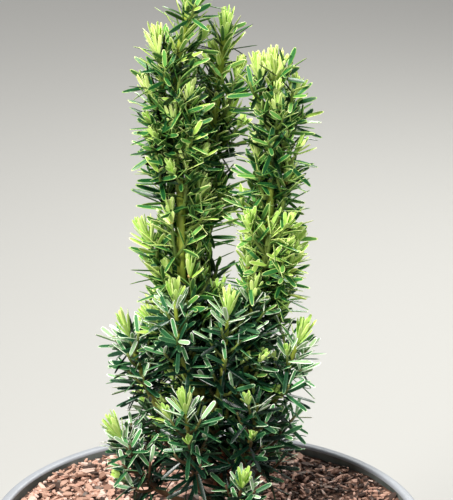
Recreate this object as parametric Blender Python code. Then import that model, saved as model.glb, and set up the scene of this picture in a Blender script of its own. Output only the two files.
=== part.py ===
"""A young upright yew with two narrow columns of shoots, growing in a round nursery pot.

Every length is in metres, up is +Z, the front is towards -Y, and the origin is the middle
of the pot's flat underside.
"""
import math
import random

import bmesh
import bpy
from mathutils import Quaternion, Vector
from mathutils.bvhtree import BVHTree

MM = 0.001
GAP = 0.3 * MM
UP = Vector((0, 0, 1))
GOLDEN_TURN = math.radians(137.5)

# The pot, turned about its axis
POT_HEIGHT = 215 * MM
POT_RIM_RADIUS = 130 * MM
POT_BASE_RADIUS = 100 * MM
POT_BASE_ROUNDING = 3 * MM
POT_SHOULDER_RADIUS = 123 * MM
POT_SHOULDER_HEIGHT = 176 * MM
POT_COLLAR_STEP = 3 * MM
POT_COLLAR_FLARE = 1.5 * MM
POT_WALL = 2.5 * MM
POT_FLOOR = 3 * MM
LIP_WIDTH = 6.4 * MM
LIP_DEPTH = 13 * MM
ARC_STEPS = 4
POT_STEPS = 36
POT_MERGE = 0.01 * MM
POT_CREASE = math.radians(40)

# The potting mix: a shallow dish, flat round the foot of the trunk and rising to the pot
SOIL_LEVEL = 203 * MM
SOIL_FLAT_RADIUS = 16 * MM
SOIL_EDGE_RISE = 6 * MM
SOIL_KNEE = 0.6
SOIL_KNEE_FALL = 0.4 * MM

# Trunk and limbs. Places are (right, back, above the soil) in millimetres
TRUNK_THROUGH = [(3, 0, 0.3), (6, 0, 26), (12.5, 1, 62)]
TRUNK_RADIUS = 4.6 * MM
TRUNK_TIP_RADIUS = 3.8 * MM
FLARE_EXTRA = 4.5 * MM
FLARE_FADE = 7 * MM
STEM_RADIUS = 3.0 * MM
STEM_TIP_RADIUS = 1.7 * MM
BOUGH_RADIUS = 2.1 * MM
BOUGH_TIP_RADIUS = 1.5 * MM
LIMB_SIDES = 8
BOUGH_SIDES = 6
LIMB_CREASE = math.radians(60)
ROUTE_SPANS = 3
FIRST_SIDE = Vector((0.3, -1, 0.1))

# A branch leaves its carrier squarely for a little over its own radius. A bough is then well
# out from its carrier before it has climbed far
ELBOW = 1.35
ELBOW_RISE = 0.2
BOUGH_MIDDLE_OUT = 0.62
BOUGH_MIDDLE_UP = 0.34

# Upright stems: what carries each, at what height above the soil, and the places it grows through
STEMS = {
    "stem_right": ("trunk", None, [(22, 0, 105), (33.5, 0, 176), (36.9, 0, 236), (37.7, 0, 286)]),
    "stem_left": ("trunk", 44, [(-5, -3, 108), (-14, -2, 160), (-15, 0, 216), (-18, 0, 280), (-9, 0, 326)]),
    "stem_left_rear": (
        "trunk", 55, [(-1, 16, 112), (-5, 20, 178), (-0.7, 20, 222), (5, 19, 262), (10, 17, 304)],
    ),
}
STEM_BARE_SHARE = {"stem_right": 0.97, "stem_left": 0.95, "stem_left_rear": 0.96}

# Boughs: what carries each, at what height above the soil, the place of its tip, and the share
# of it that is bare. One with no bare share is all mass, from its carrier's side
BOUGHS = {
    "front_right": ("stem_right", 92, (26, -12, 157), 0),
    "front_centre": ("stem_left", 84, (12, -21, 150), 0),
    "front_left": ("stem_left", 98, (-18, -17, 156), 0),
    "low_front_right": ("trunk", 12, (20, -36, 50), 0),
    "low_centre": ("trunk", 40, (29, -20, 96), 0),
    "left": ("stem_left", 66, (-45, -1, 130), 0.3),
    "right": ("stem_right", 76, (52, -4, 126), 0.3),
    "low_front": ("trunk", 27, (-12, -40, 98), 0.3),
    "low_left": ("trunk", 20, (-49, -14, 70), 0.3),
    "low_right": ("trunk", 22, (42, 3, 82), 0.3),
    "rear_left": ("stem_left_rear", 88, (-28, 43, 128), 0.3),
    "rear_right": ("trunk", 50, (25, 46, 108), 0.3),
    "low_rear": ("trunk", 34, (-36, 37, 70), 0.35),
}

# Side shoots: height above the soil, bearing in degrees from the right, and reach from the stem
SHOOTS = {
    "stem_left": [
        (272, 192, 8), (248, 182, 12), (232, 268, 8), (246, 335, 10), (210, 300, 8), (205, 188, 12),
        (163, 184, 16), (226, 95, 9), (178, 240, 9), (146, 312, 10), (122, 215, 13),
    ],
    "stem_left_rear": [
        (256, 352, 9), (228, 22, 9), (182, 332, 11), (262, 130, 9), (212, 105, 10), (160, 65, 11),
        (130, 150, 12),
    ],
    "stem_right": [
        (259, 190, 8), (248, 5, 10), (240, 282, 8), (215, 197, 9), (200, 342, 9), (172, 262, 9),
        (152, 340, 14), (150, 205, 11), (234, 90, 9), (190, 110, 9), (150, 70, 12), (116, 20, 12),
    ],
}
SHOOT_RISE = 24 * MM
SHOOT_MIDDLE = 0.45
SHOOT_BULGE = 0.12
SHOOT_RADIUS = 1.7 * MM
SHOOT_TIP_RADIUS = 1.0 * MM

# Each shoot is a slim core that needles stand out of. Both are larger than life, so that
# fewer needles fill the crown
CORE_RADIUS = 4.2 * MM
CORE_SIDES = 4
CORE_SPACING = 11 * MM
TWIG_LENGTH = 16 * MM
TWIG_RADIUS = 1.3 * MM
TWIG_CORE_RADIUS = 2.5 * MM
TWIG_TIP_RADIUS = 0.8 * MM
TWIG_ANGLE = math.radians(42)
TWIG_SPACING = 20 * MM
TWIG_ZONE = (0.25, 0.85)
TWIG_LENGTHS = (0.85, 1.1)
TWIG_BEND = 0.55
TWIG_UPTURN = 0.5
TWIG_SIDES = 3
TWIG_NEEDLES = 3
NEEDLE_LENGTH = 25 * MM
NEEDLE_WIDTH = 6 * MM
NEEDLE_THICKNESS = 1.3 * MM
NEEDLE_WIDEST = 0.42
NEEDLE_SPACING = 5.3 * MM
NEEDLE_START = 0.6
NEEDLE_LENGTHS = (0.85, 1.08)
NEEDLE_LOW_ANGLE = math.radians(72)
NEEDLE_HIGH_ANGLE = math.radians(34)
END_ANGLE = math.radians(10)
END_LENGTH = 18 * MM
END_DEPTH = 1 * MM
CLEARANCE = 0.4 * MM
SHORTER_TRIES = (1, 0.8, 0.62)
STEM_REACH = 29 * MM
BOUGH_REACH = 26 * MM
SPACE_OVERLAP = 12 * MM
SOIL_CLEARANCE = 4 * MM
SLIVER = 0.02 * MM

# Colours
POT_GREY = (0.085, 0.092, 0.098)
BARK_TAN = (0.36, 0.20, 0.12)
WOOD_BROWN = (0.16, 0.055, 0.03)
STEM_GREEN = (0.20, 0.24, 0.03)
NEEDLE_GREEN = (0.035, 0.115, 0.04)
COLUMN_GREEN = (0.075, 0.18, 0.035)

# Roughness of each finish
POT_ROUGHNESS = 0.55
MIX_ROUGHNESS = 0.95
WOOD_ROUGHNESS = 0.8
STEM_ROUGHNESS = 0.6
NEEDLE_ROUGHNESS = 0.5


def remove_scene_objects():
    """Empty the scene of what it starts with."""
    for item in list(bpy.data.objects):
        bpy.data.objects.remove(item)


def plain_material(name, colour, roughness):
    """A non-metal finish in one colour."""
    material = bpy.data.materials.new(name)
    material.use_nodes = True
    shader = material.node_tree.nodes["Principled BSDF"]
    shader.inputs["Base Color"].default_value = (*colour, 1)
    shader.inputs["Roughness"].default_value = roughness
    shader.inputs["Metallic"].default_value = 0
    return material


def place(right, back, above):
    """A point from millimetres right of and behind the pot's axis, and above the soil."""
    return Vector((right * MM, back * MM, SOIL_LEVEL + above * MM))


def bearing(degrees):
    """The level direction at an angle from the right, turning towards the back."""
    angle = math.radians(degrees)
    return Vector((math.cos(angle), math.sin(angle), 0))


def mesh_object(name, mesh, material):
    """Put a mesh into the scene as a named object."""
    item = bpy.data.objects.new(name, mesh)
    bpy.context.scene.collection.objects.link(item)
    mesh.materials.clear()
    mesh.materials.append(material)
    return item


def arc(centre, radius, start, end):
    """Points (radius, height) along an arc in the outline's plane, angles in degrees."""
    points = []
    for step in range(ARC_STEPS + 1):
        angle = math.radians(start + (end - start) * step / ARC_STEPS)
        points.append((centre[0] + radius * math.cos(angle), centre[1] + radius * math.sin(angle)))
    return points


def turned_object(name, outline, material):
    """Turn an outline of (radius, height) points about the pot's axis."""
    mesh = bpy.data.meshes.new(name)
    edges = [(index, index + 1) for index in range(len(outline) - 1)]
    mesh.from_pydata([(radius, 0, height) for radius, height in outline], edges, [])
    item = mesh_object(name, mesh, material)
    screw = item.modifiers.new("Turn", "SCREW")
    screw.axis = "Z"
    screw.steps = POT_STEPS
    screw.render_steps = POT_STEPS
    screw.use_merge_vertices = True
    screw.merge_threshold = POT_MERGE
    screw.use_smooth_shade = False
    finished = bpy.data.meshes.new_from_object(evaluated(item))
    item.modifiers.clear()
    item.data = finished
    finished.shade_smooth()
    finished.set_sharp_from_angle(angle=POT_CREASE)
    return item


def evaluated(item):
    """The object with its modifiers worked out."""
    return item.evaluated_get(bpy.context.evaluated_depsgraph_get())


def wall_radius(height):
    """The pot's outer radius below its collar."""
    rise = (height - POT_BASE_ROUNDING) / (POT_SHOULDER_HEIGHT - POT_BASE_ROUNDING)
    return POT_BASE_RADIUS + (POT_SHOULDER_RADIUS - POT_BASE_RADIUS) * rise


def make_pot():
    """The pot: floor, tapering wall, stepped collar and rolled lip."""
    lip_radius = LIP_WIDTH / 2
    lip_middle = (POT_RIM_RADIUS - lip_radius, POT_HEIGHT - lip_radius)
    lip_inner = POT_RIM_RADIUS - LIP_WIDTH
    collar_foot = POT_SHOULDER_RADIUS + POT_COLLAR_STEP
    collar_head = collar_foot + POT_COLLAR_FLARE
    step_height = POT_SHOULDER_HEIGHT + POT_COLLAR_STEP
    skirt = POT_HEIGHT - LIP_DEPTH
    base_corner = (POT_BASE_RADIUS - POT_BASE_ROUNDING, POT_BASE_ROUNDING)
    outline = [
        (0, POT_FLOOR),
        (wall_radius(POT_FLOOR) - POT_WALL, POT_FLOOR),
        (POT_SHOULDER_RADIUS - POT_WALL, POT_SHOULDER_HEIGHT + POT_WALL / 2),
        (lip_inner, step_height + POT_WALL),
    ]
    outline += arc(lip_middle, lip_radius, 180, 0)
    outline += [
        (POT_RIM_RADIUS, skirt),
        (collar_head, skirt),
        (collar_foot, step_height),
        (POT_SHOULDER_RADIUS, POT_SHOULDER_HEIGHT),
    ]
    outline += arc(base_corner, POT_BASE_ROUNDING, 0, -90)
    outline.append((0, 0))
    return turned_object("pot", outline, plain_material("pot_grey", POT_GREY, POT_ROUGHNESS))


def make_potting_mix():
    """The mix that fills the pot to just under its lip."""
    bottom = POT_FLOOR + GAP
    side_clear = POT_WALL + GAP
    lip_inner = POT_RIM_RADIUS - LIP_WIDTH
    outline = [
        (0, SOIL_LEVEL),
        (SOIL_FLAT_RADIUS, SOIL_LEVEL),
        (SOIL_KNEE * lip_inner, SOIL_LEVEL - SOIL_KNEE_FALL),
        (lip_inner - GAP, SOIL_LEVEL + SOIL_EDGE_RISE),
        (lip_inner - GAP, POT_SHOULDER_HEIGHT + POT_COLLAR_STEP + POT_WALL),
        (POT_SHOULDER_RADIUS - side_clear, POT_SHOULDER_HEIGHT + POT_WALL / 2),
        (wall_radius(bottom) - side_clear, bottom),
        (0, bottom),
    ]
    return turned_object("potting_mix", outline, plain_material("bark_tan", BARK_TAN, MIX_ROUGHNESS))


def smooth_route(points):
    """A curve through the points, as closer points along it."""
    route = [points[0]]
    for index in range(len(points) - 1):
        here = points[index]
        there = points[index + 1]
        before = points[index - 1] if index else here - (there - here)
        after = points[index + 2] if index + 2 < len(points) else there + (there - here)
        for step in range(1, ROUTE_SPANS + 1):
            t = step / ROUTE_SPANS
            route.append(
                0.5 * (
                    2 * here
                    + (there - before) * t
                    + (2 * before - 5 * here + 4 * there - after) * t ** 2
                    + (3 * here - before - 3 * there + after) * t ** 3
                )
            )
    return route


def route_lengths(route):
    """The length along the route at each of its points."""
    lengths = [0]
    for here, there in zip(route, route[1:]):
        lengths.append(lengths[-1] + (there - here).length)
    return lengths


def along(route, distance):
    """The point on the route at a length from its start, and the direction there."""
    lengths = route_lengths(route)
    for index in range(len(route) - 1):
        if distance <= lengths[index + 1] or index == len(route) - 2:
            direction = (route[index + 1] - route[index]).normalized()
            return route[index] + direction * (distance - lengths[index]), direction


def cut_route(route, start, end):
    """The stretch of a route between two lengths."""
    lengths = route_lengths(route)
    inner = [point for point, length in zip(route, lengths) if start + MM < length < end - MM]
    return [along(route, start)[0], *inner, along(route, end)[0]]


def spaced_route(route, spacing):
    """The same route with its points evenly spaced, about as far apart as given."""
    total = route_lengths(route)[-1]
    count = max(2, round(total / spacing))
    return [along(route, total * index / count)[0] for index in range(count + 1)]


def at_height(route, above):
    """The point and direction where a route passes a height above the soil."""
    level = SOIL_LEVEL + above * MM
    for here, there in zip(route, route[1:]):
        if here.z <= level <= there.z:
            share = (level - here.z) / (there.z - here.z)
            return here.lerp(there, share), (there - here).normalized()
    raise ValueError("the route doesn't pass that height")


def ring(centre, normal, side, radius, sides):
    """The corners of a regular outline across a limb."""
    across = (side - side.project(normal)).normalized()
    other = normal.cross(across)
    corners = []
    for index in range(sides):
        angle = 2 * math.pi * index / sides
        corners.append(centre + radius * (math.cos(angle) * across + math.sin(angle) * other))
    return corners


def tube(route, radii, sides, first_normal=None):
    """Corners and faces of a closed tapering tube along a route."""
    corners = []
    side = FIRST_SIDE
    for index, centre in enumerate(route):
        before = route[max(index - 1, 0)]
        after = route[min(index + 1, len(route) - 1)]
        normal = (after - before).normalized()
        if index == 0 and first_normal:
            normal = first_normal
        level = ring(centre, normal, side, radii[index], sides)
        side = (level[0] - centre).normalized()
        corners += level
    faces = [tuple(reversed(range(sides)))]
    for level in range(len(route) - 1):
        for index in range(sides):
            low = level * sides
            onward = (index + 1) % sides
            faces.append((low + index, low + onward, low + sides + onward, low + sides + index))
    last = (len(route) - 1) * sides
    faces.append(tuple(last + index for index in range(sides)))
    return corners, faces


def taper(route, start_radius, end_radius):
    """A radius for each point of a route, falling evenly along its length."""
    lengths = route_lengths(route)
    return [start_radius + (end_radius - start_radius) * length / lengths[-1] for length in lengths]


def mesh_of(name, corners, faces):
    """A mesh from corners and faces."""
    mesh = bpy.data.meshes.new(name)
    mesh.from_pydata([tuple(corner) for corner in corners], [], faces)
    mesh.update()
    return mesh


def tree_of(corners, faces):
    """A search tree of a shape's faces, with its middle and its reach for a quick first test."""
    middle = sum(corners, Vector()) / len(corners)
    reach = max((corner - middle).length for corner in corners)
    return middle, reach, BVHTree.FromPolygons(corners, faces)


def touches(shape, others):
    """Whether a shape's faces meet those of any other."""
    middle, reach, tree = shape
    for other_middle, other_reach, other_tree in others:
        if (middle - other_middle).length < reach + other_reach and tree.overlap(other_tree):
            return True
    return False


def leave_parent(parent, above, outward, radius):
    """The first points of a branch that leaves a limb's side, and the way its cut end faces."""
    centre, direction = at_height(parent["route"], above)
    outward = (outward - outward.project(direction)).normalized()
    thickness = max(parent["radius_at"](above - 2 * radius / MM), parent["radius_at"](above))
    start = centre + outward * (thickness + GAP)
    turn = start + outward * ELBOW * radius + direction * ELBOW_RISE * radius
    return [start, turn], outward


def limb(name, route, radii, sides, material, first_normal=None):
    """A tapering limb as an object, remembered with its route and its thickness by height."""
    corners, faces = tube(route, radii, sides, first_normal)
    item = mesh_object(name, mesh_of(name, corners, faces), material)
    item.data.shade_smooth()
    item.data.set_sharp_from_angle(angle=LIMB_CREASE)
    heights = [(point.z - SOIL_LEVEL) / MM for point in route]

    def radius_at(above):
        for index in range(len(route) - 1):
            if heights[index] <= above <= heights[index + 1]:
                share = (above - heights[index]) / (heights[index + 1] - heights[index])
                return radii[index] + (radii[index + 1] - radii[index]) * share
        return radii[-1]

    return {"route": route, "radius_at": radius_at, "shape": tree_of(corners, faces)}


def make_trunk(material):
    """The short trunk, flared at the soil and cut flat there."""
    route = smooth_route([place(*point) for point in TRUNK_THROUGH])
    radii = []
    for point, even in zip(route, taper(route, TRUNK_RADIUS, TRUNK_TIP_RADIUS)):
        radii.append(even + FLARE_EXTRA * math.exp(-(point.z - route[0].z) / FLARE_FADE))
    return limb("trunk", route, radii, LIMB_SIDES, material, UP)


def make_stem(name, limbs, material):
    """An upright stem, and the route of the part of it that its tip mass takes over."""
    carrier, above, through = STEMS[name]
    points = [place(*point) for point in through]
    parent = limbs[carrier]
    if above is None:
        end = parent["route"][-1]
        onward = (end - parent["route"][-2]).normalized()
        start = [end + onward * GAP, end + onward * STEM_RADIUS]
        outward = onward
    else:
        level = at_height(parent["route"], above)[0]
        start, outward = leave_parent(parent, above, points[0] - level, STEM_RADIUS)
    route = [start[0], *smooth_route([start[1], *points])]
    total = route_lengths(route)[-1]
    end = total * STEM_BARE_SHARE[name]
    bare = cut_route(route, 0, end)
    limbs[name] = limb(name, bare, taper(bare, STEM_RADIUS, STEM_TIP_RADIUS), LIMB_SIDES, material, outward)
    return cut_route(route, end + GAP, total)


def make_bough(name, limbs):
    """A bough up to where it enters its mass, and the route that the mass takes over."""
    carrier, above, tip, bare_share = BOUGHS[name]
    parent = limbs[carrier]
    level = at_height(parent["route"], above)[0]
    end = place(*tip)
    start, outward = leave_parent(parent, above, end - level, BOUGH_RADIUS)
    reach = (end - start[1]) - (end - start[1]).project(UP)
    climb = end.z - start[1].z
    middle = start[1] + BOUGH_MIDDLE_OUT * reach + UP * BOUGH_MIDDLE_UP * climb
    route = [start[0], *smooth_route([start[1], middle, end])]
    if not bare_share:
        return route, outward
    total = route_lengths(route)[-1]
    bare = cut_route(route, 0, total * bare_share)
    radii = taper(bare, BOUGH_RADIUS, BOUGH_TIP_RADIUS)
    material = plain_material("bough_" + name + "_green", STEM_GREEN, STEM_ROUGHNESS)
    limbs["bough_" + name] = limb("bough_" + name, bare, radii, BOUGH_SIDES, material, outward)
    return cut_route(route, total * bare_share + GAP, total), None


def side_shoot_route(parent, above, degrees, reach):
    """The route of a side shoot that leaves a stem and turns up beside it."""
    outward = bearing(degrees)
    start, facing = leave_parent(parent, above, outward, SHOOT_RADIUS)
    centre, direction = at_height(parent["route"], above)
    end = centre + outward * reach * MM + direction * SHOOT_RISE
    middle = start[1].lerp(end, SHOOT_MIDDLE) + facing * SHOOT_BULGE * reach * MM
    return [start[0], start[1], middle, end], facing


def needle_shape(root, direction, facing, length, width, thickness):
    """Corners and faces of a flat needle with a keel: a root, a tip and three corners between."""
    across = direction.cross(facing).normalized()
    middle = root + direction * length * NEEDLE_WIDEST
    corners = [
        root,
        middle + across * width / 2 + facing * thickness / 2,
        middle - across * width / 2 + facing * thickness / 2,
        middle - facing * thickness / 2,
        root + direction * length,
    ]
    faces = [(0, 2, 1), (0, 3, 2), (0, 1, 3), (4, 1, 2), (4, 2, 3), (4, 3, 1)]
    return corners, faces


def leaning(axis, turn, angle):
    """A direction that leans away from an axis, at a turn about it."""
    side = axis.orthogonal().normalized()
    side.rotate(Quaternion(axis, turn))
    return (axis * math.cos(angle) + side * math.sin(angle)).normalized()


def distance_to(route, point):
    """The distance from a point to the nearest part of a route."""
    nearest = math.inf
    for here, there in zip(route, route[1:]):
        run = there - here
        share = min(max((point - here).dot(run) / run.length_squared, 0), 1)
        nearest = min(nearest, (point - here - run * share).length)
    return nearest


class Mass:
    """One mass of needles: a stem, the twigs on it and the needles on both."""

    def __init__(self, name, route, start_radius, first_normal, seed, heart=None):
        self.name = name
        self.route = spaced_route(route, CORE_SPACING)
        self.heart = heart or self.route
        self.reach = STEM_REACH if heart else BOUGH_REACH
        self.start_radius = start_radius
        self.first_normal = first_normal
        self.random = random.Random(seed)
        self.pieces = []
        self.shapes = []
        self.shoots = [(self.route, NEEDLE_SPACING)]

    def make_core(self, limbs, masses):
        """The stem, swollen into a slim core as far as limbs and other masses leave room."""
        radii = taper(self.route, self.start_radius, SHOOT_TIP_RADIUS)
        for index in range(1, len(self.route) - 1):
            point = self.route[index]
            room = CORE_RADIUS
            for item in limbs.values():
                above = (point.z - SOIL_LEVEL) / MM
                room = min(room, distance_to(item["route"], point) - item["radius_at"](above) - CLEARANCE)
            for mass in masses:
                if mass is not self:
                    room = min(room, distance_to(mass.route, point) / 2 - CLEARANCE)
            radii[index] = max(radii[index], room)
        core = tube(self.route, radii, CORE_SIDES, self.first_normal)
        self.pieces.append(core)
        self.shapes.append(tree_of(*core))

    def keeps_to_space(self, point, masses):
        """Whether a point is above the soil, within reach, and not deep in another mass's space."""
        if point.z < SOIL_LEVEL + SOIL_CLEARANCE or distance_to(self.heart, point) > self.reach:
            return False
        own = distance_to(self.route, point)
        others = [distance_to(mass.route, point) for mass in masses if mass is not self]
        return own < min(others) + SPACE_OVERLAP

    def add(self, piece, fattened, limbs, masses):
        """Add a piece unless its fattened outline touches a limb or another mass."""
        shape = tree_of(*fattened)
        if touches(shape, [item["shape"] for item in limbs.values()]):
            return False
        for mass in masses:
            if mass is not self and touches(shape, mass.shapes):
                return False
        self.pieces.append(piece)
        self.shapes.append(tree_of(*piece))
        return True

    def grow_twigs(self, limbs, masses):
        """Twigs that leave the stem by turns, each leaning up and out."""
        total = route_lengths(self.route)[-1]
        turn = self.random.uniform(0, 2 * math.pi)
        count = max(2, round(total / TWIG_SPACING))
        for index in range(count):
            turn += GOLDEN_TURN
            share = TWIG_ZONE[0] + (TWIG_ZONE[1] - TWIG_ZONE[0]) * index / count
            start, axis = along(self.route, total * share)
            direction = leaning(axis, turn, TWIG_ANGLE)
            length = TWIG_LENGTH * self.random.uniform(*TWIG_LENGTHS)
            middle = start + direction * length * TWIG_BEND
            end = middle + (direction + TWIG_UPTURN * axis).normalized() * length * (1 - TWIG_BEND)
            route = [start, middle, end]
            radii = [TWIG_RADIUS, TWIG_CORE_RADIUS, TWIG_TIP_RADIUS]
            twig = tube(route, radii, TWIG_SIDES)
            fattened = tube(route, [radius + CLEARANCE for radius in radii], TWIG_SIDES)
            if self.keeps_to_space(end, masses) and self.add(twig, fattened, limbs, masses):
                self.shoots.append((route, length / TWIG_NEEDLES))

    def grow_needles(self, limbs, masses):
        """Needles by turns along the stem and the twigs, and an upright one at each tip."""
        for route, spacing in self.shoots:
            total = route_lengths(route)[-1]
            turn = self.random.uniform(0, 2 * math.pi)
            distance = NEEDLE_START * spacing
            while distance < total:
                share = distance / total
                angle = NEEDLE_LOW_ANGLE + (NEEDLE_HIGH_ANGLE - NEEDLE_LOW_ANGLE) * share
                length = NEEDLE_LENGTH * self.random.uniform(*NEEDLE_LENGTHS)
                self.add_needle(*along(route, distance), turn, angle, length, limbs, masses)
                turn += GOLDEN_TURN
                distance += spacing
            self.add_needle(*along(route, total - END_DEPTH), turn, END_ANGLE, END_LENGTH, limbs, masses)

    def add_needle(self, root, axis, turn, angle, length, limbs, masses):
        """The longest needle that finds room, its flat side turned towards its shoot's tip."""
        direction = leaning(axis, turn, angle)
        facing = (axis - axis.project(direction)).normalized()
        wider = NEEDLE_WIDTH + 2 * CLEARANCE
        thicker = NEEDLE_THICKNESS + 2 * CLEARANCE
        for share in SHORTER_TRIES:
            shorter = length * share
            if not self.keeps_to_space(root + direction * shorter, masses):
                continue
            needle = needle_shape(root, direction, facing, shorter, NEEDLE_WIDTH, NEEDLE_THICKNESS)
            fattened = needle_shape(root, direction, facing, shorter + CLEARANCE, wider, thicker)
            if self.add(needle, fattened, limbs, masses):
                return

    def join(self, material):
        """Join the pieces into one closed solid, without one of them where it spoils the join."""
        body = mesh_object(self.name, mesh_of(self.name, *self.pieces[0]), material)
        group = bpy.data.collections.new(self.name + "_pieces")
        parts = []
        for number, piece in enumerate(self.pieces[1:]):
            part = bpy.data.objects.new(f"{self.name}_piece_{number}", mesh_of("piece", *piece))
            group.objects.link(part)
            parts.append(part)
        union = body.modifiers.new("Join", "BOOLEAN")
        union.operation = "UNION"
        union.solver = "EXACT"
        union.operand_type = "COLLECTION"
        union.collection = group
        joined = closed_union(body)
        for left_out in parts:
            if joined:
                break
            group.objects.unlink(left_out)
            joined = closed_union(body)
            group.objects.link(left_out)
        body.modifiers.clear()
        body.data = joined
        joined.materials.clear()
        joined.materials.append(material)
        for part in parts:
            bpy.data.objects.remove(part)
        bpy.data.collections.remove(group)


def closed_union(body):
    """The mesh that a body's union gives, or None where it isn't closed."""
    joined = bpy.data.meshes.new_from_object(evaluated(body))
    return joined if keep_largest_shell(joined) else None


def keep_largest_shell(mesh):
    """Drop slivers, scraps and the walls of sealed hollows, and say whether the rest is a solid."""
    shape = bmesh.new()
    shape.from_mesh(mesh)
    bmesh.ops.triangulate(shape, faces=shape.faces)
    bmesh.ops.dissolve_degenerate(shape, edges=shape.edges, dist=SLIVER)
    bmesh.ops.triangulate(shape, faces=shape.faces)
    unseen = set(shape.faces)
    shells = []
    while unseen:
        shell = set()
        edge_of_shell = [unseen.pop()]
        while edge_of_shell:
            face = edge_of_shell.pop()
            shell.add(face)
            for edge in face.edges:
                for neighbour in edge.link_faces:
                    if neighbour in unseen:
                        unseen.remove(neighbour)
                        edge_of_shell.append(neighbour)
        shells.append(shell)
    shells.sort(key=len)
    for shell in shells[:-1]:
        bmesh.ops.delete(shape, geom=list(shell), context="FACES")
    loose = [corner for corner in shape.verts if not corner.link_faces]
    bmesh.ops.delete(shape, geom=loose, context="VERTS")
    closed = all(len(edge.link_faces) == 2 for edge in shape.edges)
    solid = closed and shape.calc_volume(signed=True) > 0
    shape.to_mesh(mesh)
    shape.free()
    return solid


def plant():
    """Trunk, stems and boughs, then the masses of needles on them."""
    limbs = {"trunk": make_trunk(plain_material("wood_brown", WOOD_BROWN, WOOD_ROUGHNESS))}
    masses = []
    for name in STEMS:
        route = make_stem(name, limbs, plain_material(name + "_green", STEM_GREEN, STEM_ROUGHNESS))
        masses.append(Mass(f"foliage_{name}_tip", route, STEM_TIP_RADIUS, None, len(masses)))
    for name in BOUGHS:
        route, facing = make_bough(name, limbs)
        masses.append(Mass("foliage_" + name, route, BOUGH_TIP_RADIUS, facing, len(masses)))
    for stem, shoots in SHOOTS.items():
        for number, (above, degrees, reach) in enumerate(shoots, 1):
            route, facing = side_shoot_route(limbs[stem], above, degrees, reach)
            name = f"foliage_{stem}_{number:02d}"
            heart = limbs[stem]["route"]
            masses.append(Mass(name, route, SHOOT_RADIUS, facing, len(masses), heart))
    for mass in masses:
        mass.make_core(limbs, masses)
    for mass in masses:
        mass.grow_twigs(limbs, masses)
    for mass in masses:
        mass.grow_needles(limbs, masses)
    for mass in masses:
        green = COLUMN_GREEN if "stem" in mass.name else NEEDLE_GREEN
        mass.join(plain_material(mass.name + "_green", green, NEEDLE_ROUGHNESS))


remove_scene_objects()
make_pot()
make_potting_mix()
plant()
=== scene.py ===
# %% [markdown]
# # A young upright yew in its nursery pot
#
# The plant is a young yew whose shoots all grow nearly straight up, so that it stands as two
# narrow columns over a bushier foot. It grows in a round grey pot topped with bark chips.
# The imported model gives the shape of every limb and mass. This script gives them bark,
# needles, new growth and a finish.
#
# Everything is in metres, up is +Z, the front is towards -Y, and the origin is the middle
# of the pot's flat underside.

import math
import random

import bpy
import numpy as np
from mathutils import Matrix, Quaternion, Vector, noise


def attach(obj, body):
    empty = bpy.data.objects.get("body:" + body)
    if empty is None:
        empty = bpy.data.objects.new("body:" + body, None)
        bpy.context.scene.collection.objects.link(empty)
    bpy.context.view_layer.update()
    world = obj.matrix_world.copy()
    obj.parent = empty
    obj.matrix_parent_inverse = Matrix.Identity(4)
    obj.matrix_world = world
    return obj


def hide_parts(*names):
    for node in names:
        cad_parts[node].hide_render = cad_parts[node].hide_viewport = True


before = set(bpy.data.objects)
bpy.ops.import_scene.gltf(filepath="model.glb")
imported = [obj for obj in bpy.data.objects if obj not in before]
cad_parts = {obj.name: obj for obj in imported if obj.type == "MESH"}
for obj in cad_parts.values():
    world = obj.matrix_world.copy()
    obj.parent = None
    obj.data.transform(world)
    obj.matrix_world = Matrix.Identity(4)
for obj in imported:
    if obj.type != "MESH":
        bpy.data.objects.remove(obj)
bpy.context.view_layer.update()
bpy.ops.object.select_all(action="DESELECT")
MM = 0.001
SOIL_LEVEL = 0.203
UP = Vector((0, 0, 1))
NODES = sorted(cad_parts)
print("nodes:", len(NODES))

# %% [markdown]
# ## The camera
#
# A camera can be placed by eye, or worked out from something round in the picture. The rim
# of the pot is a circle 260 mm across, and its width and flatness in the picture say how
# far away and how high the camera stands. The lens is a long one, so the plant is hardly
# foreshortened.

# %% Camera
CAMERA_PLACE = (0.01121, -1.1927, 0.80168)
CAMERA_DIP = 19.212
FOCAL_LENGTH = 158.84
scene = bpy.context.scene


def add_object(name, data):
    """A new object of the scene, from a mesh, a curve, a light or a camera."""
    item = bpy.data.objects.new(name, data)
    scene.collection.objects.link(item)
    return item


camera = add_object("camera", bpy.data.cameras.new("camera"))
camera.data.sensor_width = 36
camera.data.lens = FOCAL_LENGTH
camera.data.clip_start = 0.05
camera.data.clip_end = 30
camera.location = CAMERA_PLACE
camera.rotation_euler = (math.radians(90 - CAMERA_DIP), 0, 0)
scene.camera = camera
print("camera looks down by", CAMERA_DIP, "degrees")

# %% [markdown]
# ## Floor and light
#
# The floor is one pale plain plane. The key light, high on the left, gives soft daylight
# with a clear upper side to each needle, and a weak fill light comes from the right. A rim
# light behind the plant makes the edges of its needles shine, a wide backdrop light evens
# out the floor behind, and a pale world lifts the shadows. Big lights close by give softer
# shadows than small ones.

# %% Floor and light
FLOOR_COLOUR = (0.42, 0.415, 0.4)
WORLD_COLOUR = (0.92, 0.96, 1.0)
WORLD_STRENGTH = 0.15
# Each light's place, the point that it faces, its size, power and colour.
LIGHTS = {
    "key": ((-0.7, -1.1, 1.75), (0, 0, 0.35), 0.6, 74, (1.0, 0.98, 0.94)),
    "fill": ((1.4, -1.0, 1.0), (0, 0, 0.35), 1.2, 8, (0.92, 0.96, 1.0)),
    "rim": ((0.6, 1.2, 1.5), (0, 0, 0.4), 0.9, 34, (1.0, 1.0, 0.96)),
    "backdrop": ((0, 3.4, 2.6), (0, 3.6, 0), 3.0, 50, (1.0, 0.99, 0.97)),
}


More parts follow.
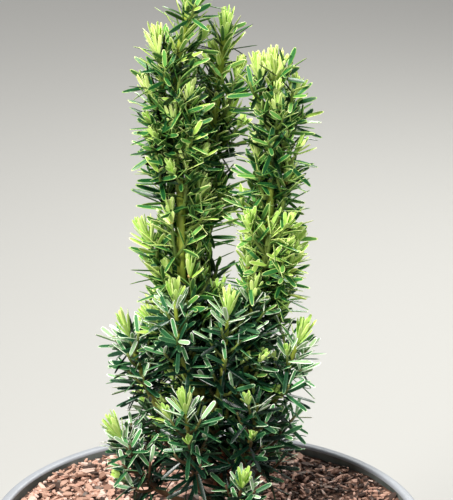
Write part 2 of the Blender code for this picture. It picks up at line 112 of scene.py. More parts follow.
def feed(owner, node, inputs):
    """Set inputs of a node, each to a value or to what another node gives out."""
    for name, value in inputs.items():
        if isinstance(value, bpy.types.NodeSocket):
            owner.node_tree.links.new(value, node.inputs[name])
        else:
            node.inputs[name].default_value = value


def shader_of(material):
    """The Principled shader of a material."""
    return material.node_tree.nodes["Principled BSDF"]


def painted(name, colour, roughness):
    """A material of one colour and one roughness."""
    material = bpy.data.materials.new(name)
    material.use_nodes = True
    feed(material, shader_of(material), {"Base Color": (*colour, 1), "Roughness": roughness})
    return material


bpy.ops.mesh.primitive_plane_add(size=40, location=(0, 0, 0))
floor = bpy.context.object
floor.name = "floor"
floor.data.materials.append(painted("floor_paint", FLOOR_COLOUR, 0.9))
for name, (spot, aim, size, power, colour) in LIGHTS.items():
    light = add_object(name, bpy.data.lights.new(name, "AREA"))
    light.location = spot
    light.rotation_euler = (Vector(aim) - Vector(spot)).to_track_quat("-Z", "Y").to_euler()
    light.data.size = size
    light.data.energy = power
    light.data.color = colour
world = bpy.data.worlds.new("pale_world")
world.use_nodes = True
sky = {"Color": (*WORLD_COLOUR, 1), "Strength": WORLD_STRENGTH}
feed(world, world.node_tree.nodes["Background"], sky)
scene.world = world
scene.view_settings.view_transform = "Standard"
print("lights:", len(LIGHTS))

# %% [markdown]
# ## Finishes
#
# Each finish is a Principled shader. A fine noise on the piece's own coordinates varies its
# roughness and its relief. Where the real colour varies as well, as on bark and worn
# plastic, a coarser noise mixes two colours. A needle is too small for that: each of its
# sides has one plain colour, and these are dealt out needle by needle.

# %% Finish helpers
ROUGHNESS_SPREAD = 0.09
RELIEF_STRENGTH = 0.6
NOISE_SPAN = (0.3, 0.7)
MOTTLE_STOPS = (0.35, 0.65)
EVEN = (1, 1, 1)


def linear(colour):
    """A screen colour, 0 to 255, as the light that it stands for."""
    return tuple((value / 255) ** 2.2 for value in colour)


def add_node(material, kind, inputs, setting=None):
    """A new node with its inputs fed. A setting is the name and choice of one of its menus."""
    node = material.node_tree.nodes.new("ShaderNode" + kind)
    if setting:
        setattr(node, *setting)
    feed(material, node, inputs)
    return node


def own_place(material):
    """Where a point of a piece is, by the piece's own coordinates."""
    return add_node(material, "TexCoord", {}).outputs["Object"]


def cloud(material, grain, detail, stretch=EVEN):
    """A noise on the piece's own coordinates, of a given grain per metre."""
    turn = add_node(material, "Mapping", {"Vector": own_place(material), "Scale": stretch})
    inputs = {"Vector": turn.outputs["Vector"], "Scale": grain, "Detail": detail}
    return add_node(material, "TexNoise", inputs).outputs["Fac"]


def finish(name, colour, roughness, grain, bump, stretch=EVEN, sheen=0.5):
    """A plain colour whose roughness and relief vary with a fine noise."""
    material = painted(name, linear(colour), roughness)
    speckle = cloud(material, grain, 5, stretch)
    inputs = {"Value": speckle, "From Min": NOISE_SPAN[0], "From Max": NOISE_SPAN[1]}
    inputs["To Min"] = roughness - ROUGHNESS_SPREAD
    inputs["To Max"] = roughness + ROUGHNESS_SPREAD
    spread = add_node(material, "MapRange", inputs).outputs["Result"]
    inputs = {"Height": speckle, "Strength": RELIEF_STRENGTH, "Distance": bump}
    relief = add_node(material, "Bump", inputs).outputs["Normal"]
    inputs = {"Specular IOR Level": sheen, "Roughness": spread, "Normal": relief}
    feed(material, shader_of(material), inputs)
    return material


def mottle(material, darker, paler, grain, stretch=EVEN):
    """Mix two screen colours over a finish with a noise of its own."""
    ramp = add_node(material, "ValToRGB", {"Fac": cloud(material, grain, 6, stretch)})
    for stop, position, colour in zip(ramp.color_ramp.elements, MOTTLE_STOPS, (darker, paler)):
        stop.position = position
        stop.color = (*linear(colour), 1)
    feed(material, shader_of(material), {"Base Color": ramp.outputs["Color"]})


# %% [markdown]
# ## Helpers for pieces
#
# In edit mode an operator acts on all that is selected. So each piece is picked alone before
# it is edited, and when it is closed again its normals are made to point outwards. Every
# finished piece is then named and put on what it rides on, and the parts of the imported
# model that it stands for are hidden.

# %% Piece helpers
def pick(item):
    """Select one object alone and make it the active one."""
    bpy.ops.object.select_all(action="DESELECT")
    item.select_set(True)
    bpy.context.view_layer.objects.active = item


def edit(item):
    """Open one object in edit mode with all of it selected."""
    pick(item)
    bpy.ops.object.mode_set(mode="EDIT")
    bpy.ops.mesh.select_all(action="SELECT")


def close(item):
    """Leave edit mode with every normal pointing outwards."""
    bpy.ops.mesh.select_all(action="SELECT")
    bpy.ops.mesh.normals_make_consistent(inside=False)
    bpy.ops.object.mode_set(mode="OBJECT")
    return item


def take_apart(item):
    """The corners and faces of a model that is to be copied many times. The model goes."""
    corners = np.array([tuple(corner.co) for corner in item.data.vertices])
    faces = [tuple(face.vertices) for face in item.data.polygons]
    bpy.data.objects.remove(item)
    return corners, faces


def grow_loop(change, scale, centre):
    """Extrude what is selected by a step, then scale it about a centre."""
    bpy.ops.mesh.extrude_region_move(TRANSFORM_OT_translate={"value": change})
    bpy.ops.transform.resize(value=scale, center_override=centre)


def keep(item, name, slot, *stands_for):
    """Name a piece, hang it on what it rides on, hide what it stands for. The slot is unused."""
    item.name = name
    item.data.name = name
    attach(item, "root")
    if stands_for:
        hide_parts(*stands_for)
    print(f"{name}: {len(item.data.polygons)} faces")


def turned(name, outline, sides):
    """A closed solid of revolution: a disc, extruded and scaled from ring to ring."""
    bpy.ops.object.select_all(action="DESELECT")
    radius, height = outline[0]
    bpy.ops.mesh.primitive_circle_add(vertices=sides, radius=radius, fill_type="NGON")
    item = bpy.context.object
    item.name = name
    edit(item)
    bpy.ops.transform.translate(value=(0, 0, height))
    for next_radius, next_height in outline[1:]:
        scale = next_radius / radius
        grow_loop((0, 0, next_height - height), (scale, scale, 1), (0, 0, next_height))
        radius = next_radius
        height = next_height
    return close(item)


# %% [markdown]
# ## The pot
#
# A nursery pot is blown or pressed from thin plastic: a tapering wall, a wider collar
# stepped out near the top and a rolled lip. It could be lathed with a spin. Here a disc is
# extruded and scaled from ring to ring, up the outside, over the lip and down the inside,
# because every ring then has a size with a name. Every edge that a mould would round is a
# short arc.

# %% Pot
POT_SIDES = 128
POT_HEIGHT = 0.215
RIM_RADIUS = 0.130
BASE_RADIUS = 0.100
SHOULDER_RADIUS = 0.123
SHOULDER_HEIGHT = 0.176
WALL = 0.0025
LIP_WIDTH = 0.0064
STEP = 0.003
ROUND = 0.001
LIP_OUTER_ROUND = 0.0022
LIP_INNER_ROUND = 0.0018
BASE_GROOVE = [(0.085, 0.0), (0.0865, 0.0012), (0.0935, 0.0012), (0.095, 0.0)]
LIP_UNDERSIDE = [(-0.0025, -0.0145), (-0.0012, -0.0130), (0, -0.0118)]


def arc(radius, height, size, start, end, steps):
    """Points of the outline along an arc about a radius and height, angles in degrees."""
    points = []
    for step in range(steps + 1):
        angle = math.radians(start + (end - start) * step / steps)
        points.append((radius + size * math.cos(angle), height + size * math.sin(angle)))
    return points


collar_radius = SHOULDER_RADIUS + STEP
collar_height = SHOULDER_HEIGHT + STEP
lip_inner = RIM_RADIUS - LIP_WIDTH
inner = lip_inner + LIP_INNER_ROUND
outer = RIM_RADIUS - LIP_OUTER_ROUND
outline = list(BASE_GROOVE)
outline += arc(BASE_RADIUS - STEP, STEP, STEP, -90, 0, 5)
outline += arc(SHOULDER_RADIUS - ROUND, SHOULDER_HEIGHT - ROUND, ROUND, 0, 60, 2)
outline += arc(collar_radius - ROUND, collar_height + ROUND, ROUND, -60, 0, 3)
outline += [(RIM_RADIUS + out, POT_HEIGHT + up) for out, up in LIP_UNDERSIDE]
outline += arc(outer, POT_HEIGHT - LIP_OUTER_ROUND, LIP_OUTER_ROUND, 0, 75, 5)
outline += arc(inner, POT_HEIGHT - LIP_INNER_ROUND, LIP_INNER_ROUND, 90, 180, 5)
outline += [
    (lip_inner, collar_height + WALL),
    (SHOULDER_RADIUS - WALL, SHOULDER_HEIGHT + WALL / 2),
    (BASE_RADIUS - WALL, STEP),
]
pot = turned("pot_shell", outline, POT_SIDES)
print("rings of the pot:", len(outline))

# %% [markdown]
# The floor of such a pot has a ring of drainage holes. They could be modelled into the
# mesh, but a boolean with a ring of short cylinders is quicker and just as clean. The
# plastic is a plain grey. Inside the pot the wall is darker: partly with stains left by
# wet mix, partly painted shade cast by the plant.

# %% Drainage holes and plastic
HOLES = 8
HOLE_RADIUS = 0.007
HOLE_RING = 0.062
HOLE_DEPTH = 0.02
bpy.ops.object.select_all(action="DESELECT")
for index in range(HOLES):
    turn = 2 * math.pi * (index + 0.5) / HOLES
    bpy.ops.mesh.primitive_cylinder_add(
        vertices=24,
        radius=HOLE_RADIUS,
        depth=HOLE_DEPTH,
        location=(HOLE_RING * math.cos(turn), HOLE_RING * math.sin(turn), 0),
    )
    cutter = bpy.context.object
    cut = pot.modifiers.new("Hole", "BOOLEAN")
    cut.operation = "DIFFERENCE"
    cut.solver = "EXACT"
    cut.object = cutter
    pick(pot)
    bpy.ops.object.modifier_apply(modifier=cut.name)
    bpy.data.objects.remove(cutter)
bpy.ops.object.shade_smooth_by_angle(angle=math.radians(35))
plastic = finish("pot_plastic_grey", (142, 146, 152), 0.5, 900, 0.00012)
mottle(plastic, (136, 140, 146), (147, 151, 158), 30, (1, 1, 0.35))
# The darker inner wall: partly stains of wet mix, partly painted shade cast by the plant.
wall_stain_and_shade = finish("pot_wall_stained_and_shaded", (92, 98, 94), 0.7, 700, 0.0002)
mottle(wall_stain_and_shade, (66, 72, 68), (112, 117, 114), 40, (1, 1, 0.5))
pot.data.materials.append(plastic)
pot.data.materials.append(wall_stain_and_shade)
# The inner wall's faces take the finish of stains and painted shade.
for face in pot.data.polygons:
    inward = face.normal.x * face.center.x + face.normal.y * face.center.y < 0
    face.material_index = 1 if inward and STEP < face.center.z < POT_HEIGHT - 2 * STEP else 0
keep(pot, "nursery_pot", "pot_plastic", "pot")

# %% [markdown]
# ## The potting mix
#
# Under the chips lies dark peaty mix. It fills the pot, so the piece is a closed body with
# an uneven top: rings are extruded inwards across the top, and a noise then lifts or sinks
# each of their corners. The mix is level round the plant and rises towards the pot, as a
# shallow dish that holds water.

# %% Potting mix
GAP = 0.0003
MIX_SIDES = 112
TOP_RINGS = 44
TOP_DEPTH = 0.001
RING_INSET = 0.002
DISH_RADIUS = 0.074
EDGE_RISE = 0.0075
SINK = 0.0004
# Waves per metre, height, and the layer of the noise that each is read from.
SWELL = (28, 0.0022, 1.5)
CRUMBLE = (190, 0.0011, 7.1)
body = [
    (BASE_RADIUS - WALL - 2 * GAP, STEP + GAP),
    (SHOULDER_RADIUS - WALL - 2 * GAP, SHOULDER_HEIGHT + WALL / 2),
    (lip_inner - 2 * GAP, collar_height + WALL),
    (lip_inner - 2 * GAP, SOIL_LEVEL - TOP_DEPTH),
]
for ring in range(TOP_RINGS):
    body.append(((lip_inner - RING_INSET) * (1 - ring / TOP_RINGS), SOIL_LEVEL - TOP_DEPTH))
mix = turned("mix_body", body, MIX_SIDES)


def ground(x, y):
    """The height of the mix at a place."""
    height = SOIL_LEVEL - SINK
    for waves, lift, layer in (SWELL, CRUMBLE):
        height += noise.noise(Vector((x * waves, y * waves, layer))) * lift
    edge = max(0, math.hypot(x, y) - DISH_RADIUS) / (lip_inner - DISH_RADIUS)
    return height + EDGE_RISE * edge


for corner in mix.data.vertices:
    if corner.co.z > SOIL_LEVEL - 2 * TOP_DEPTH:
        corner.co.z = ground(corner.co.x, corner.co.y)
pick(mix)
bpy.ops.object.shade_smooth_by_angle(angle=math.radians(60))
peat = finish("mix_peat", (70, 48, 40), 0.95, 500, 0.0012)
mottle(peat, (38, 27, 23), (104, 74, 60), 260)
mix.data.materials.append(peat)
keep(mix, "peat_mix", "bark_mulch", "potting_mix")

# %% [markdown]
# ## Bark chips
#
# The chips are splinters of pine bark, pale and pinkish where they broke and dark outside,
# with finer crumbs between them. Six splinters are modelled from cubes and six crumbs from
# balls, each roughened in its own way. Thousands of copies are then laid over the mix as
# one mesh, because so many separate objects would be slow.

# %% Splinters and crumbs
SHAPES = 6
ROUGHNESS = 0.2
TAPER = 1.1
TAPER_CURVE = 1.4
THINNING = 0.5


def rough_shape(number, is_crumb):
    """Corners and faces of one rough bark piece, about one unit long."""
    bpy.ops.object.select_all(action="DESELECT")
    if is_crumb:
        bpy.ops.mesh.primitive_ico_sphere_add(subdivisions=1, radius=0.5)
    else:
        bpy.ops.mesh.primitive_cube_add(size=1)
    piece = bpy.context.object
    edit(piece)
    if not is_crumb:
        bpy.ops.mesh.subdivide(number_cuts=1)
    bpy.ops.transform.vertex_random(offset=ROUGHNESS, seed=number + 3)
    corners, faces = take_apart(close(piece))
    if not is_crumb:
        thickest = 0.1 * (1 - number % 3)
        corners[:, 1] *= 1 - TAPER * np.abs(corners[:, 0] - thickest) ** TAPER_CURVE
        corners[:, 2] *= 1 - THINNING * np.abs(corners[:, 0])
    return corners, faces


splinters = [rough_shape(number, False) for number in range(SHAPES)]
crumbs = [rough_shape(number, True) for number in range(SHAPES)]
print("faces of a splinter:", len(splinters[0][1]), "faces of a crumb:", len(crumbs[0][1]))

# %% [markdown]
# To lay out copies in one mesh, their corners are put in one long list, and each copy's
# faces count on from where its corners start. A copy is turned by three directions: the one
# that it points in, the one across it and the one that it faces.

# %% Scatter helpers
def joined(name, corners, faces, numbers, materials):
    """One object from corners and faces, with the number of each face's material."""
    mesh = bpy.data.meshes.new(name)
    mesh.from_pydata(corners.tolist(), [], faces)
    for material in materials:
        mesh.materials.append(material)
    mesh.polygons.foreach_set("material_index", numbers)
    return add_object(name, mesh)


def scattered(name, copies, materials):
    """One mesh of many small shapes. Each copy is (corners, faces, material number)."""
    corners = []
    faces = []
    numbers = []
    start = 0
    for shape, shape_faces, number in copies:
        corners.append(shape)
        faces += [tuple(start + index for index in face) for face in shape_faces]
        numbers += [number] * len(shape_faces)
        start += len(shape)
    return joined(name, np.concatenate(corners), faces, numbers, materials)


def turn_matrix(direction, facing):
    """Rows along, across and out of a shape that points one way and faces another."""
    along = np.array(direction.normalized())
    out = np.array((facing - facing.project(direction)).normalized())
    return np.array([along, np.cross(out, along), out])


# %% [markdown]
# The chips lie any way round, most of them nearly flat. Left of the plant they are pale
# and large, and towards the right they are darker and finer.

# %% Chips
CHIPS = 3100
CRUMBS = 5200
CHIP_COLOURS = {
    "chip_rose": (190, 150, 132),
    "chip_tan": (174, 138, 120),
    "chip_pale": (208, 180, 166),
    "chip_brown": (132, 98, 82),
    "chip_dark": (66, 50, 43),
    "chip_grey": (112, 100, 92),
}
LIGHT_SHARES = (0.28, 0.25, 0.16, 0.14, 0.13, 0.04)
DARK_SHARES = (0.18, 0.13, 0.07, 0.26, 0.29, 0.07)
# Lengths and layers are lowest, highest and usual. Widths and heights are shares of a length.
CHIP_SIZES = {
    "lengths": (0.003, 0.0115, 0.0045),
    "widths": (0.28, 0.62),
    "heights": (0.14, 0.34),
    "layers": (-0.0006, 0.0034, 0.0004),
    "finer": 0.35,
}
CRUMB_SIZES = {
    "lengths": (0.0015, 0.005, 0.0024),
    "widths": (0.5, 0.9),
    "heights": (0.4, 0.7),
    "layers": (-0.0004, 0.0024, 0.0004),
    "finer": 0,
}
DARK_FROM = 0.012
DARK_OVER = 0.05
DARK_EDGE = 0.35
TILT = 0.3
ROCK = 0.4
ROOM = lip_inner - 0.0008
SPREAD = lip_inner - 0.0025
chip_finishes = [
    finish(name, colour, 0.85, 420, 0.0006, (0.3, 1, 1)) for name, colour in CHIP_COLOURS.items()
]
rng = random.Random(4)
layers = {"chips": [], "crumbs": []}
for number in range(CHIPS + CRUMBS):
    is_crumb = number >= CHIPS
    radius = SPREAD * math.sqrt(rng.random())
    turn = rng.uniform(0, 2 * math.pi)
    x, y = radius * math.cos(turn), radius * math.sin(turn)
    darkness = min(1, max(0, (x - DARK_FROM) / DARK_OVER + rng.uniform(-DARK_EDGE, DARK_EDGE)))
    shares = [a + (b - a) * darkness for a, b in zip(LIGHT_SHARES, DARK_SHARES)]
    colour = rng.choices(range(len(shares)), shares)[0]
    sizes = CRUMB_SIZES if is_crumb else CHIP_SIZES
    length = rng.triangular(*sizes["lengths"]) * (1 - sizes["finer"] * darkness)
    width = length * rng.uniform(*sizes["widths"])
    height = length * rng.uniform(*sizes["heights"])
    layer = rng.triangular(*sizes["layers"])
    heading = rng.uniform(0, 2 * math.pi)
    direction = Vector((math.cos(heading), math.sin(heading), math.tan(rng.gauss(0, TILT))))
    facing = Vector((rng.gauss(0, ROCK), rng.gauss(0, ROCK), 1))
    corners, faces = (crumbs if is_crumb else splinters)[number % SHAPES]
    shape = (corners * (length, width, height)) @ turn_matrix(direction, facing)
    shape = shape + np.array((x, y, ground(x, y) + layer))
    if np.hypot(shape[:, 0], shape[:, 1]).max() < ROOM:
        layers["crumbs" if is_crumb else "chips"].append((shape, faces, colour))
for name, copies in layers.items():
    keep(scattered(name, copies, chip_finishes), "bark_" + name, "bark_mulch")

# %% [markdown]
# ## The limbs' routes
#
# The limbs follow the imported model. Its trunk, stems and boughs run along smooth curves
# through a few places, and each side shoot leaves its stem squarely and turns up beside it.
# The same places and sizes are repeated here, so that bark and needles grow where the
# solids are. Places are in millimetres right of and behind the pot's axis and above the
# mix. A bough has its carrier, the height where it leaves it, its tip, and the share of it
# that is bare. A side shoot has its height, its bearing (0 is right, 90 behind) and reach.

# %% Places
TRUNK_THROUGH = [(3, 0, 0.3), (6, 0, 26), (12.5, 1, 62)]
STEMS = {
    "stem_right": ("trunk", None, [(22, 0, 105), (33.5, 0, 176), (36.9, 0, 236), (37.7, 0, 286)]),
    "stem_left": (
        "trunk", 44, [(-5, -3, 108), (-14, -2, 160), (-15, 0, 216), (-18, 0, 280), (-9, 0, 326)],
    ),
    "stem_left_rear": (
        "trunk", 55, [(-1, 16, 112), (-5, 20, 178), (-0.7, 20, 222), (5, 19, 262), (10, 17, 304)],
    ),
}
TIP_FROM = {"stem_right": 0.97, "stem_left": 0.95, "stem_left_rear": 0.96}
BOUGHS = {
    "front_right": ("stem_right", 92, (26, -12, 157), 0),
    "front_centre": ("stem_left", 84, (12, -21, 150), 0),
    "front_left": ("stem_left", 98, (-18, -17, 156), 0),
    "low_front_right": ("trunk", 12, (20, -36, 50), 0),
    "low_centre": ("trunk", 40, (29, -20, 96), 0),
    "left": ("stem_left", 66, (-45, -1, 130), 0.3),
    "right": ("stem_right", 76, (52, -4, 126), 0.3),
    "low_front": ("trunk", 27, (-12, -40, 98), 0.3),
    "low_left": ("trunk", 20, (-49, -14, 70), 0.3),
    "low_right": ("trunk", 22, (42, 3, 82), 0.3),
    "rear_left": ("stem_left_rear", 88, (-28, 43, 128), 0.3),
    "rear_right": ("trunk", 50, (25, 46, 108), 0.3),
    "low_rear": ("trunk", 34, (-36, 37, 70), 0.35),
}
SHOOTS = {
    "stem_left": [
        (272, 192, 8), (248, 182, 12), (232, 268, 8), (246, 335, 10), (210, 300, 8), (205, 188, 12),
        (163, 184, 16), (226, 95, 9), (178, 240, 9), (146, 312, 10), (122, 215, 13),
    ],
    "stem_left_rear": [
        (256, 352, 9), (228, 22, 9), (182, 332, 11), (262, 130, 9), (212, 105, 10), (160, 65, 11),
        (130, 150, 12),
    ],
    "stem_right": [
        (259, 190, 8), (248, 5, 10), (240, 282, 8), (215, 197, 9), (200, 342, 9), (172, 262, 9),
        (152, 340, 14), (150, 205, 11), (234, 90, 9), (190, 110, 9), (150, 70, 12), (116, 20, 12),
    ],
}
SHOOT_RISE = 24
TRUNK_RADII = (4.6 * MM, 3.8 * MM)
STEM_RADII = (3.0 * MM, 1.7 * MM)
BOUGH_RADII = (2.1 * MM, 1.1 * MM)
SHOOT_RADIUS = 1.7 * MM
shoot_count = sum(len(shoots) for shoots in SHOOTS.values())
print("stems:", len(STEMS), "boughs:", len(BOUGHS), "side shoots:", shoot_count)

# %% [markdown]
# A limb's route could be drawn as a curve with handles. Here it is a list of points close
# together, because needles and twigs have to find their place on it by length or by height.

# %% Route helpers
def place(right, back, above):
    """A point from millimetres right of and behind the pot's axis, and above the soil."""
    return Vector((right * MM, back * MM, SOIL_LEVEL + above * MM))


def between(pair, share):
    """The value at a share of the way from the first of a pair to the second."""
    return pair[0] + (pair[1] - pair[0]) * share


def smooth_route(points, spans=8):
    """A curve through the points, as closer points along it."""
    route = [points[0]]
    for index in range(len(points) - 1):
        here = points[index]
        there = points[index + 1]
        before = points[index - 1] if index else here - (there - here)
        after = points[index + 2] if index + 2 < len(points) else there + (there - here)
        for step in range(1, spans + 1):
            t = step / spans
            route.append(
                0.5 * (
                    2 * here
                    + (there - before) * t
                    + (2 * before - 5 * here + 4 * there - after) * t ** 2
                    + (3 * here - before - 3 * there + after) * t ** 3
                )
            )
    return route


def route_lengths(route):
    """The length along the route at each of its points."""
    lengths = [0]
    for here, there in zip(route, route[1:]):
        lengths.append(lengths[-1] + (there - here).length)
    return lengths


def along(route, distance):
    """The point on the route at a length from its start, and the direction there."""
    lengths = route_lengths(route)
    for index in range(len(route) - 1):
        if distance <= lengths[index + 1] or index == len(route) - 2:
            direction = (route[index + 1] - route[index]).normalized()
            return route[index] + direction * (distance - lengths[index]), direction


def at_height(route, above):
    """The point and direction where a route passes a height above the soil."""
    level = SOIL_LEVEL + above * MM
    for here, there in zip(route, route[1:]):
        if here.z <= level <= there.z:
            share = (level - here.z) / (there.z - here.z)
            return here.lerp(there, share), (there - here).normalized()
    return route[-1], (route[-1] - route[-2]).normalized()


def limb_of(route, radii):
    """A limb's route with its thickness at both ends and the heights that it spans."""
    heights = [(point.z - SOIL_LEVEL) / MM for point in route]
    return {"route": route, "radii": radii, "foot": heights[0], "top": heights[-1]}


# %% [markdown]
# A branch starts inside the limb that carries it and comes squarely out of its side. A
# bough then swings out before it turns up to its tip.

# %% Trunk, stems and boughs
START_DEPTH = 0.6
START_CLEAR = 1.35
START_RISE = 0.2
BEND_OUT = 0.62
BEND_UP = 0.34


def leave(parent, above, outward, radius):
    """The first points of a branch: inside its carrier, and squarely out of its side."""
    centre, direction = at_height(parent["route"], above)
    outward = (outward - outward.project(direction)).normalized()
    share = min(1, max(0, (above - parent["foot"]) / (parent["top"] - parent["foot"])))
    thickness = between(parent["radii"], share)
    clear = centre + outward * (thickness + START_CLEAR * radius)
    return [centre + outward * thickness * START_DEPTH, clear + direction * START_RISE * radius]


limbs = {"trunk": limb_of(smooth_route([place(*point) for point in TRUNK_THROUGH]), TRUNK_RADII)}
for name, (carrier, above, through) in STEMS.items():
    points = [place(*point) for point in through]
    parent = limbs[carrier]
    if above is None:
        start = [parent["route"][-4], parent["route"][-1]]
    else:
        level = at_height(parent["route"], above)[0]
        start = leave(parent, above, points[0] - level, STEM_RADII[0])
    limbs[name] = limb_of(smooth_route([*start, *points]), STEM_RADII)
for name, (carrier, above, tip, bare) in BOUGHS.items():
    parent = limbs[carrier]
    level = at_height(parent["route"], above)[0]
    end = place(*tip)
    start = leave(parent, above, end - level, BOUGH_RADII[0])
    rise = (end - start[1]).project(UP)
    middle = start[1] + BEND_OUT * (end - start[1] - rise) + BEND_UP * rise
    limbs["bough_" + name] = limb_of(smooth_route([*start, middle, end]), BOUGH_RADII)
for name, limb in limbs.items():
    print(name, round(route_lengths(limb["route"])[-1] * 1000), "mm")

# %% [markdown]
# ## One needle
#
# A yew needle is a flat strap on a short stalk, widest in the middle, dark on its upper
# face with a pale margin, and paler beneath. Its tip, and in part its margin, are painted
# lighter still, as painted highlights of light on its gloss. One needle is modelled once,
# from a small seven-sided disc that is extruded and scaled along its length. The columns
# have needles that come to a point, and the lower boughs have blunter ones, so that it is
# modelled once more with a blunter tip. Every needle of the plant is a bent and turned copy
# of one of the two.

# %% Needle
SECTION = [(0.5, 0), (0.37, 0.36), (0, 0.16), (-0.37, 0.36), (-0.5, 0), (-0.31, -0.5), (0.31, -0.5)]
FOOT = (0, 0.34, 0.9)
# Each station is a height, a width and a depth, as shares of the needle's.
POINTED = [(0.06, 0.4, 0.8), (0.2, 0.88, 1), (0.5, 1, 1), (0.79, 0.91, 0.9), (0.945, 0.55, 0.6)]
BLUNT = [(0.06, 0.4, 0.8), (0.2, 0.82, 1), (0.54, 1, 1), (0.83, 0.95, 0.9), (0.96, 0.64, 0.6)]
# The tip's finish is a painted highlight, and the margin's is partly one.
UPPER, MARGIN, UNDER, TIP_HIGHLIGHT = 0, 1, 2, 3
SIDES = 4
END_FROM = 0.94
HIGHLIGHT_FROM = 0.7


def needle_side(corners):
    """Which finish a face takes: upper side, margin, underside or the tip's painted highlight."""
    height = corners[:, 1].mean()
    out = corners[:, 2].mean()
    if height > END_FROM:
        return TIP_HIGHLIGHT
    if (abs(corners[:, 0]) < 0.001).sum() > 1:
        return UPPER
    if out < -0.2 and abs(corners[:, 0].mean()) < 0.05:
        return UNDER
    # Margin faces near the tip also take the tip's painted highlight.
    return TIP_HIGHLIGHT if height > HIGHLIGHT_FROM else MARGIN


def shaped_needle(stations):
    """Corners, faces and their sides of a needle one unit long and one unit wide."""
    bpy.ops.object.select_all(action="DESELECT")
    bpy.ops.mesh.primitive_circle_add(vertices=len(SECTION), radius=0.5, fill_type="NGON")
    needle = bpy.context.object
    height, width, depth = FOOT
    for corner, (across, out) in zip(needle.data.vertices, SECTION):
        corner.co = (across * width, 0, out * depth)
    edit(needle)
    for station, next_width, next_depth in stations:
        scale = (next_width / width, 1, next_depth / depth)
        grow_loop((0, station - height, 0), scale, (0, station, 0))
        width = next_width
        depth = next_depth
        height = station
    bpy.ops.mesh.extrude_region_move(TRANSFORM_OT_translate={"value": (0, 1 - height, 0)})
    bpy.ops.mesh.merge(type="CENTER")
    corners, faces = take_apart(close(needle))
    sides = [needle_side(corners[list(face)]) for face in faces]
    print("needle faces:", len(faces), "by side:", [sides.count(side) for side in range(SIDES)])
    return corners, faces, sides


pointed_needle = shaped_needle(POINTED)
blunt_needle = shaped_needle(BLUNT)

# %% [markdown]
# ## How the shoots grow
#
# Needles stand round a shoot by turns of about 137 degrees, so that none shades the next.
# Low on a shoot they spread widely, and towards its tip they lean up. Each shoot ends in a
# brush of soft new growth. Twigs branch by the same turns.
#
# The columns and the lower boughs grow in two habits. A habit holds the spacing of its
# needles, their angles at a shoot's foot and tip, their width and their lengths on a shoot
# and on a twig, the shoot's thickness, the step from twig to twig, how many needles stand
# round its tuft, and how far out it grows. Its tones say how light its needles are, from 0
# for the darkest finish to 1 for the lightest.

# %% Habits
GOLDEN_TURN = math.radians(137.5)
THICKNESS = 0.55 * MM
# On the boughs the mass tone rises with height, partly as painted light on their upper parts.
# Shades: a lift, lighter towards a shoot's tip, and a painted shade towards its foot.
HABITS = {
    "column": {
        "spacing": 1.35 * MM, "angles": (71, 36), "width": 2.75 * MM, "radii": (1.4 * MM, 0.9 * MM),
        "lengths": (0.0145, 0.0192), "twig_lengths": (0.0115, 0.016), "twig_every": 7 * MM,
        "collar": 3, "depth": 25 * MM, "mass_tone": (0.02, 0.3, 0), "shades": (0.12, 0.46, 0.26),
    },
    "bough": {
        "spacing": 1.15 * MM, "angles": (92, 34), "width": 2.6 * MM, "radii": (1.5 * MM, 1.0 * MM),
        "lengths": (0.0155, 0.021), "twig_lengths": (0.0125, 0.0175), "twig_every": 5.5 * MM,
        "collar": 7, "depth": 60 * MM, "mass_tone": (0.04, 0.7, 0.2), "shades": (0, 0.85, 0.24),
    },
}
COLUMNS = {
    "left_column": "stem_left",
    "rear_column": "stem_left_rear",
    "right_column": "stem_right",
}


def kind_of(group):
    """Whether a group is one of the columns or one of the lower boughs."""
    return "column" if group in COLUMNS else "bough"


def heart_of(group):
    """The route that a group grows round: its column's stem, or the trunk."""
    return limbs[COLUMNS.get(group, "trunk")]["route"]


def leaning(axis, turn, angle):
    """A direction that leans away from an axis, at a turn about it."""
    side = axis.orthogonal().normalized()
    side.rotate(Quaternion(axis, turn))
    return (axis * math.cos(angle) + side * math.sin(angle)).normalized()


# %% [markdown]
# Not every needle has room. One that would run through a limb or into the mix is left out.
# In front of the left and right columns a length of green stem shows, so that most needles
# there have fallen and have left only their scars. Light shines through between the columns
# in two places, where few needles reach. Needles of the lower boughs that point straight
# away from the plant would hide the shoots behind them, and most of those are left out too.

# %% Room for a needle
BARE_FRONTS = {"left_column": (95, 225), "right_column": (172, 222)}
BARE_HALF_WIDTH = 3.6 * MM
# Spans across and up in millimetres, and the share of the needles there that is left out.
OPEN_AIR = (((2.5, 16), (164, 200), 0.92), ((14, 21.5), (230, 300), 0.6))
STRAIGHT_AWAY = 0.6
segments = []
for name, limb in limbs.items():
    lengths = route_lengths(limb["route"])
    for index in range(len(limb["route"]) - 1):
        radius = between(limb["radii"], lengths[index] / lengths[-1])
        segments.append((*limb["route"][index], *limb["route"][index + 1], radius))
segments = np.array(segments)
print("straight pieces of limb to stay clear of:", len(segments))


def hits_limb(points, margin):
    """Whether any of the points lies inside a limb or near its side."""
    starts = segments[:, 0:3]
    runs = segments[:, 3:6] - starts
    offsets = points[:, None, :] - starts[None]
    shares = np.clip((offsets * runs).sum(2) / (runs * runs).sum(1), 0, 1)
    distances = np.linalg.norm(offsets - shares[:, :, None] * runs, axis=2)
    return bool((distances < segments[:, 6] + margin).any())


def hides_stem(group, points):
    """Whether any of the points is right in front of a stem, where it stays in sight."""
    if group not in BARE_FRONTS:
        return False
    low, high = BARE_FRONTS[group]
    for x, y, z in points:
        above = (z - SOIL_LEVEL) / MM
        if low < above < high:
            centre = at_height(heart_of(group), above)[0]
            if abs(x - centre.x) < BARE_HALF_WIDTH and y < centre.y:
                return True
    return False


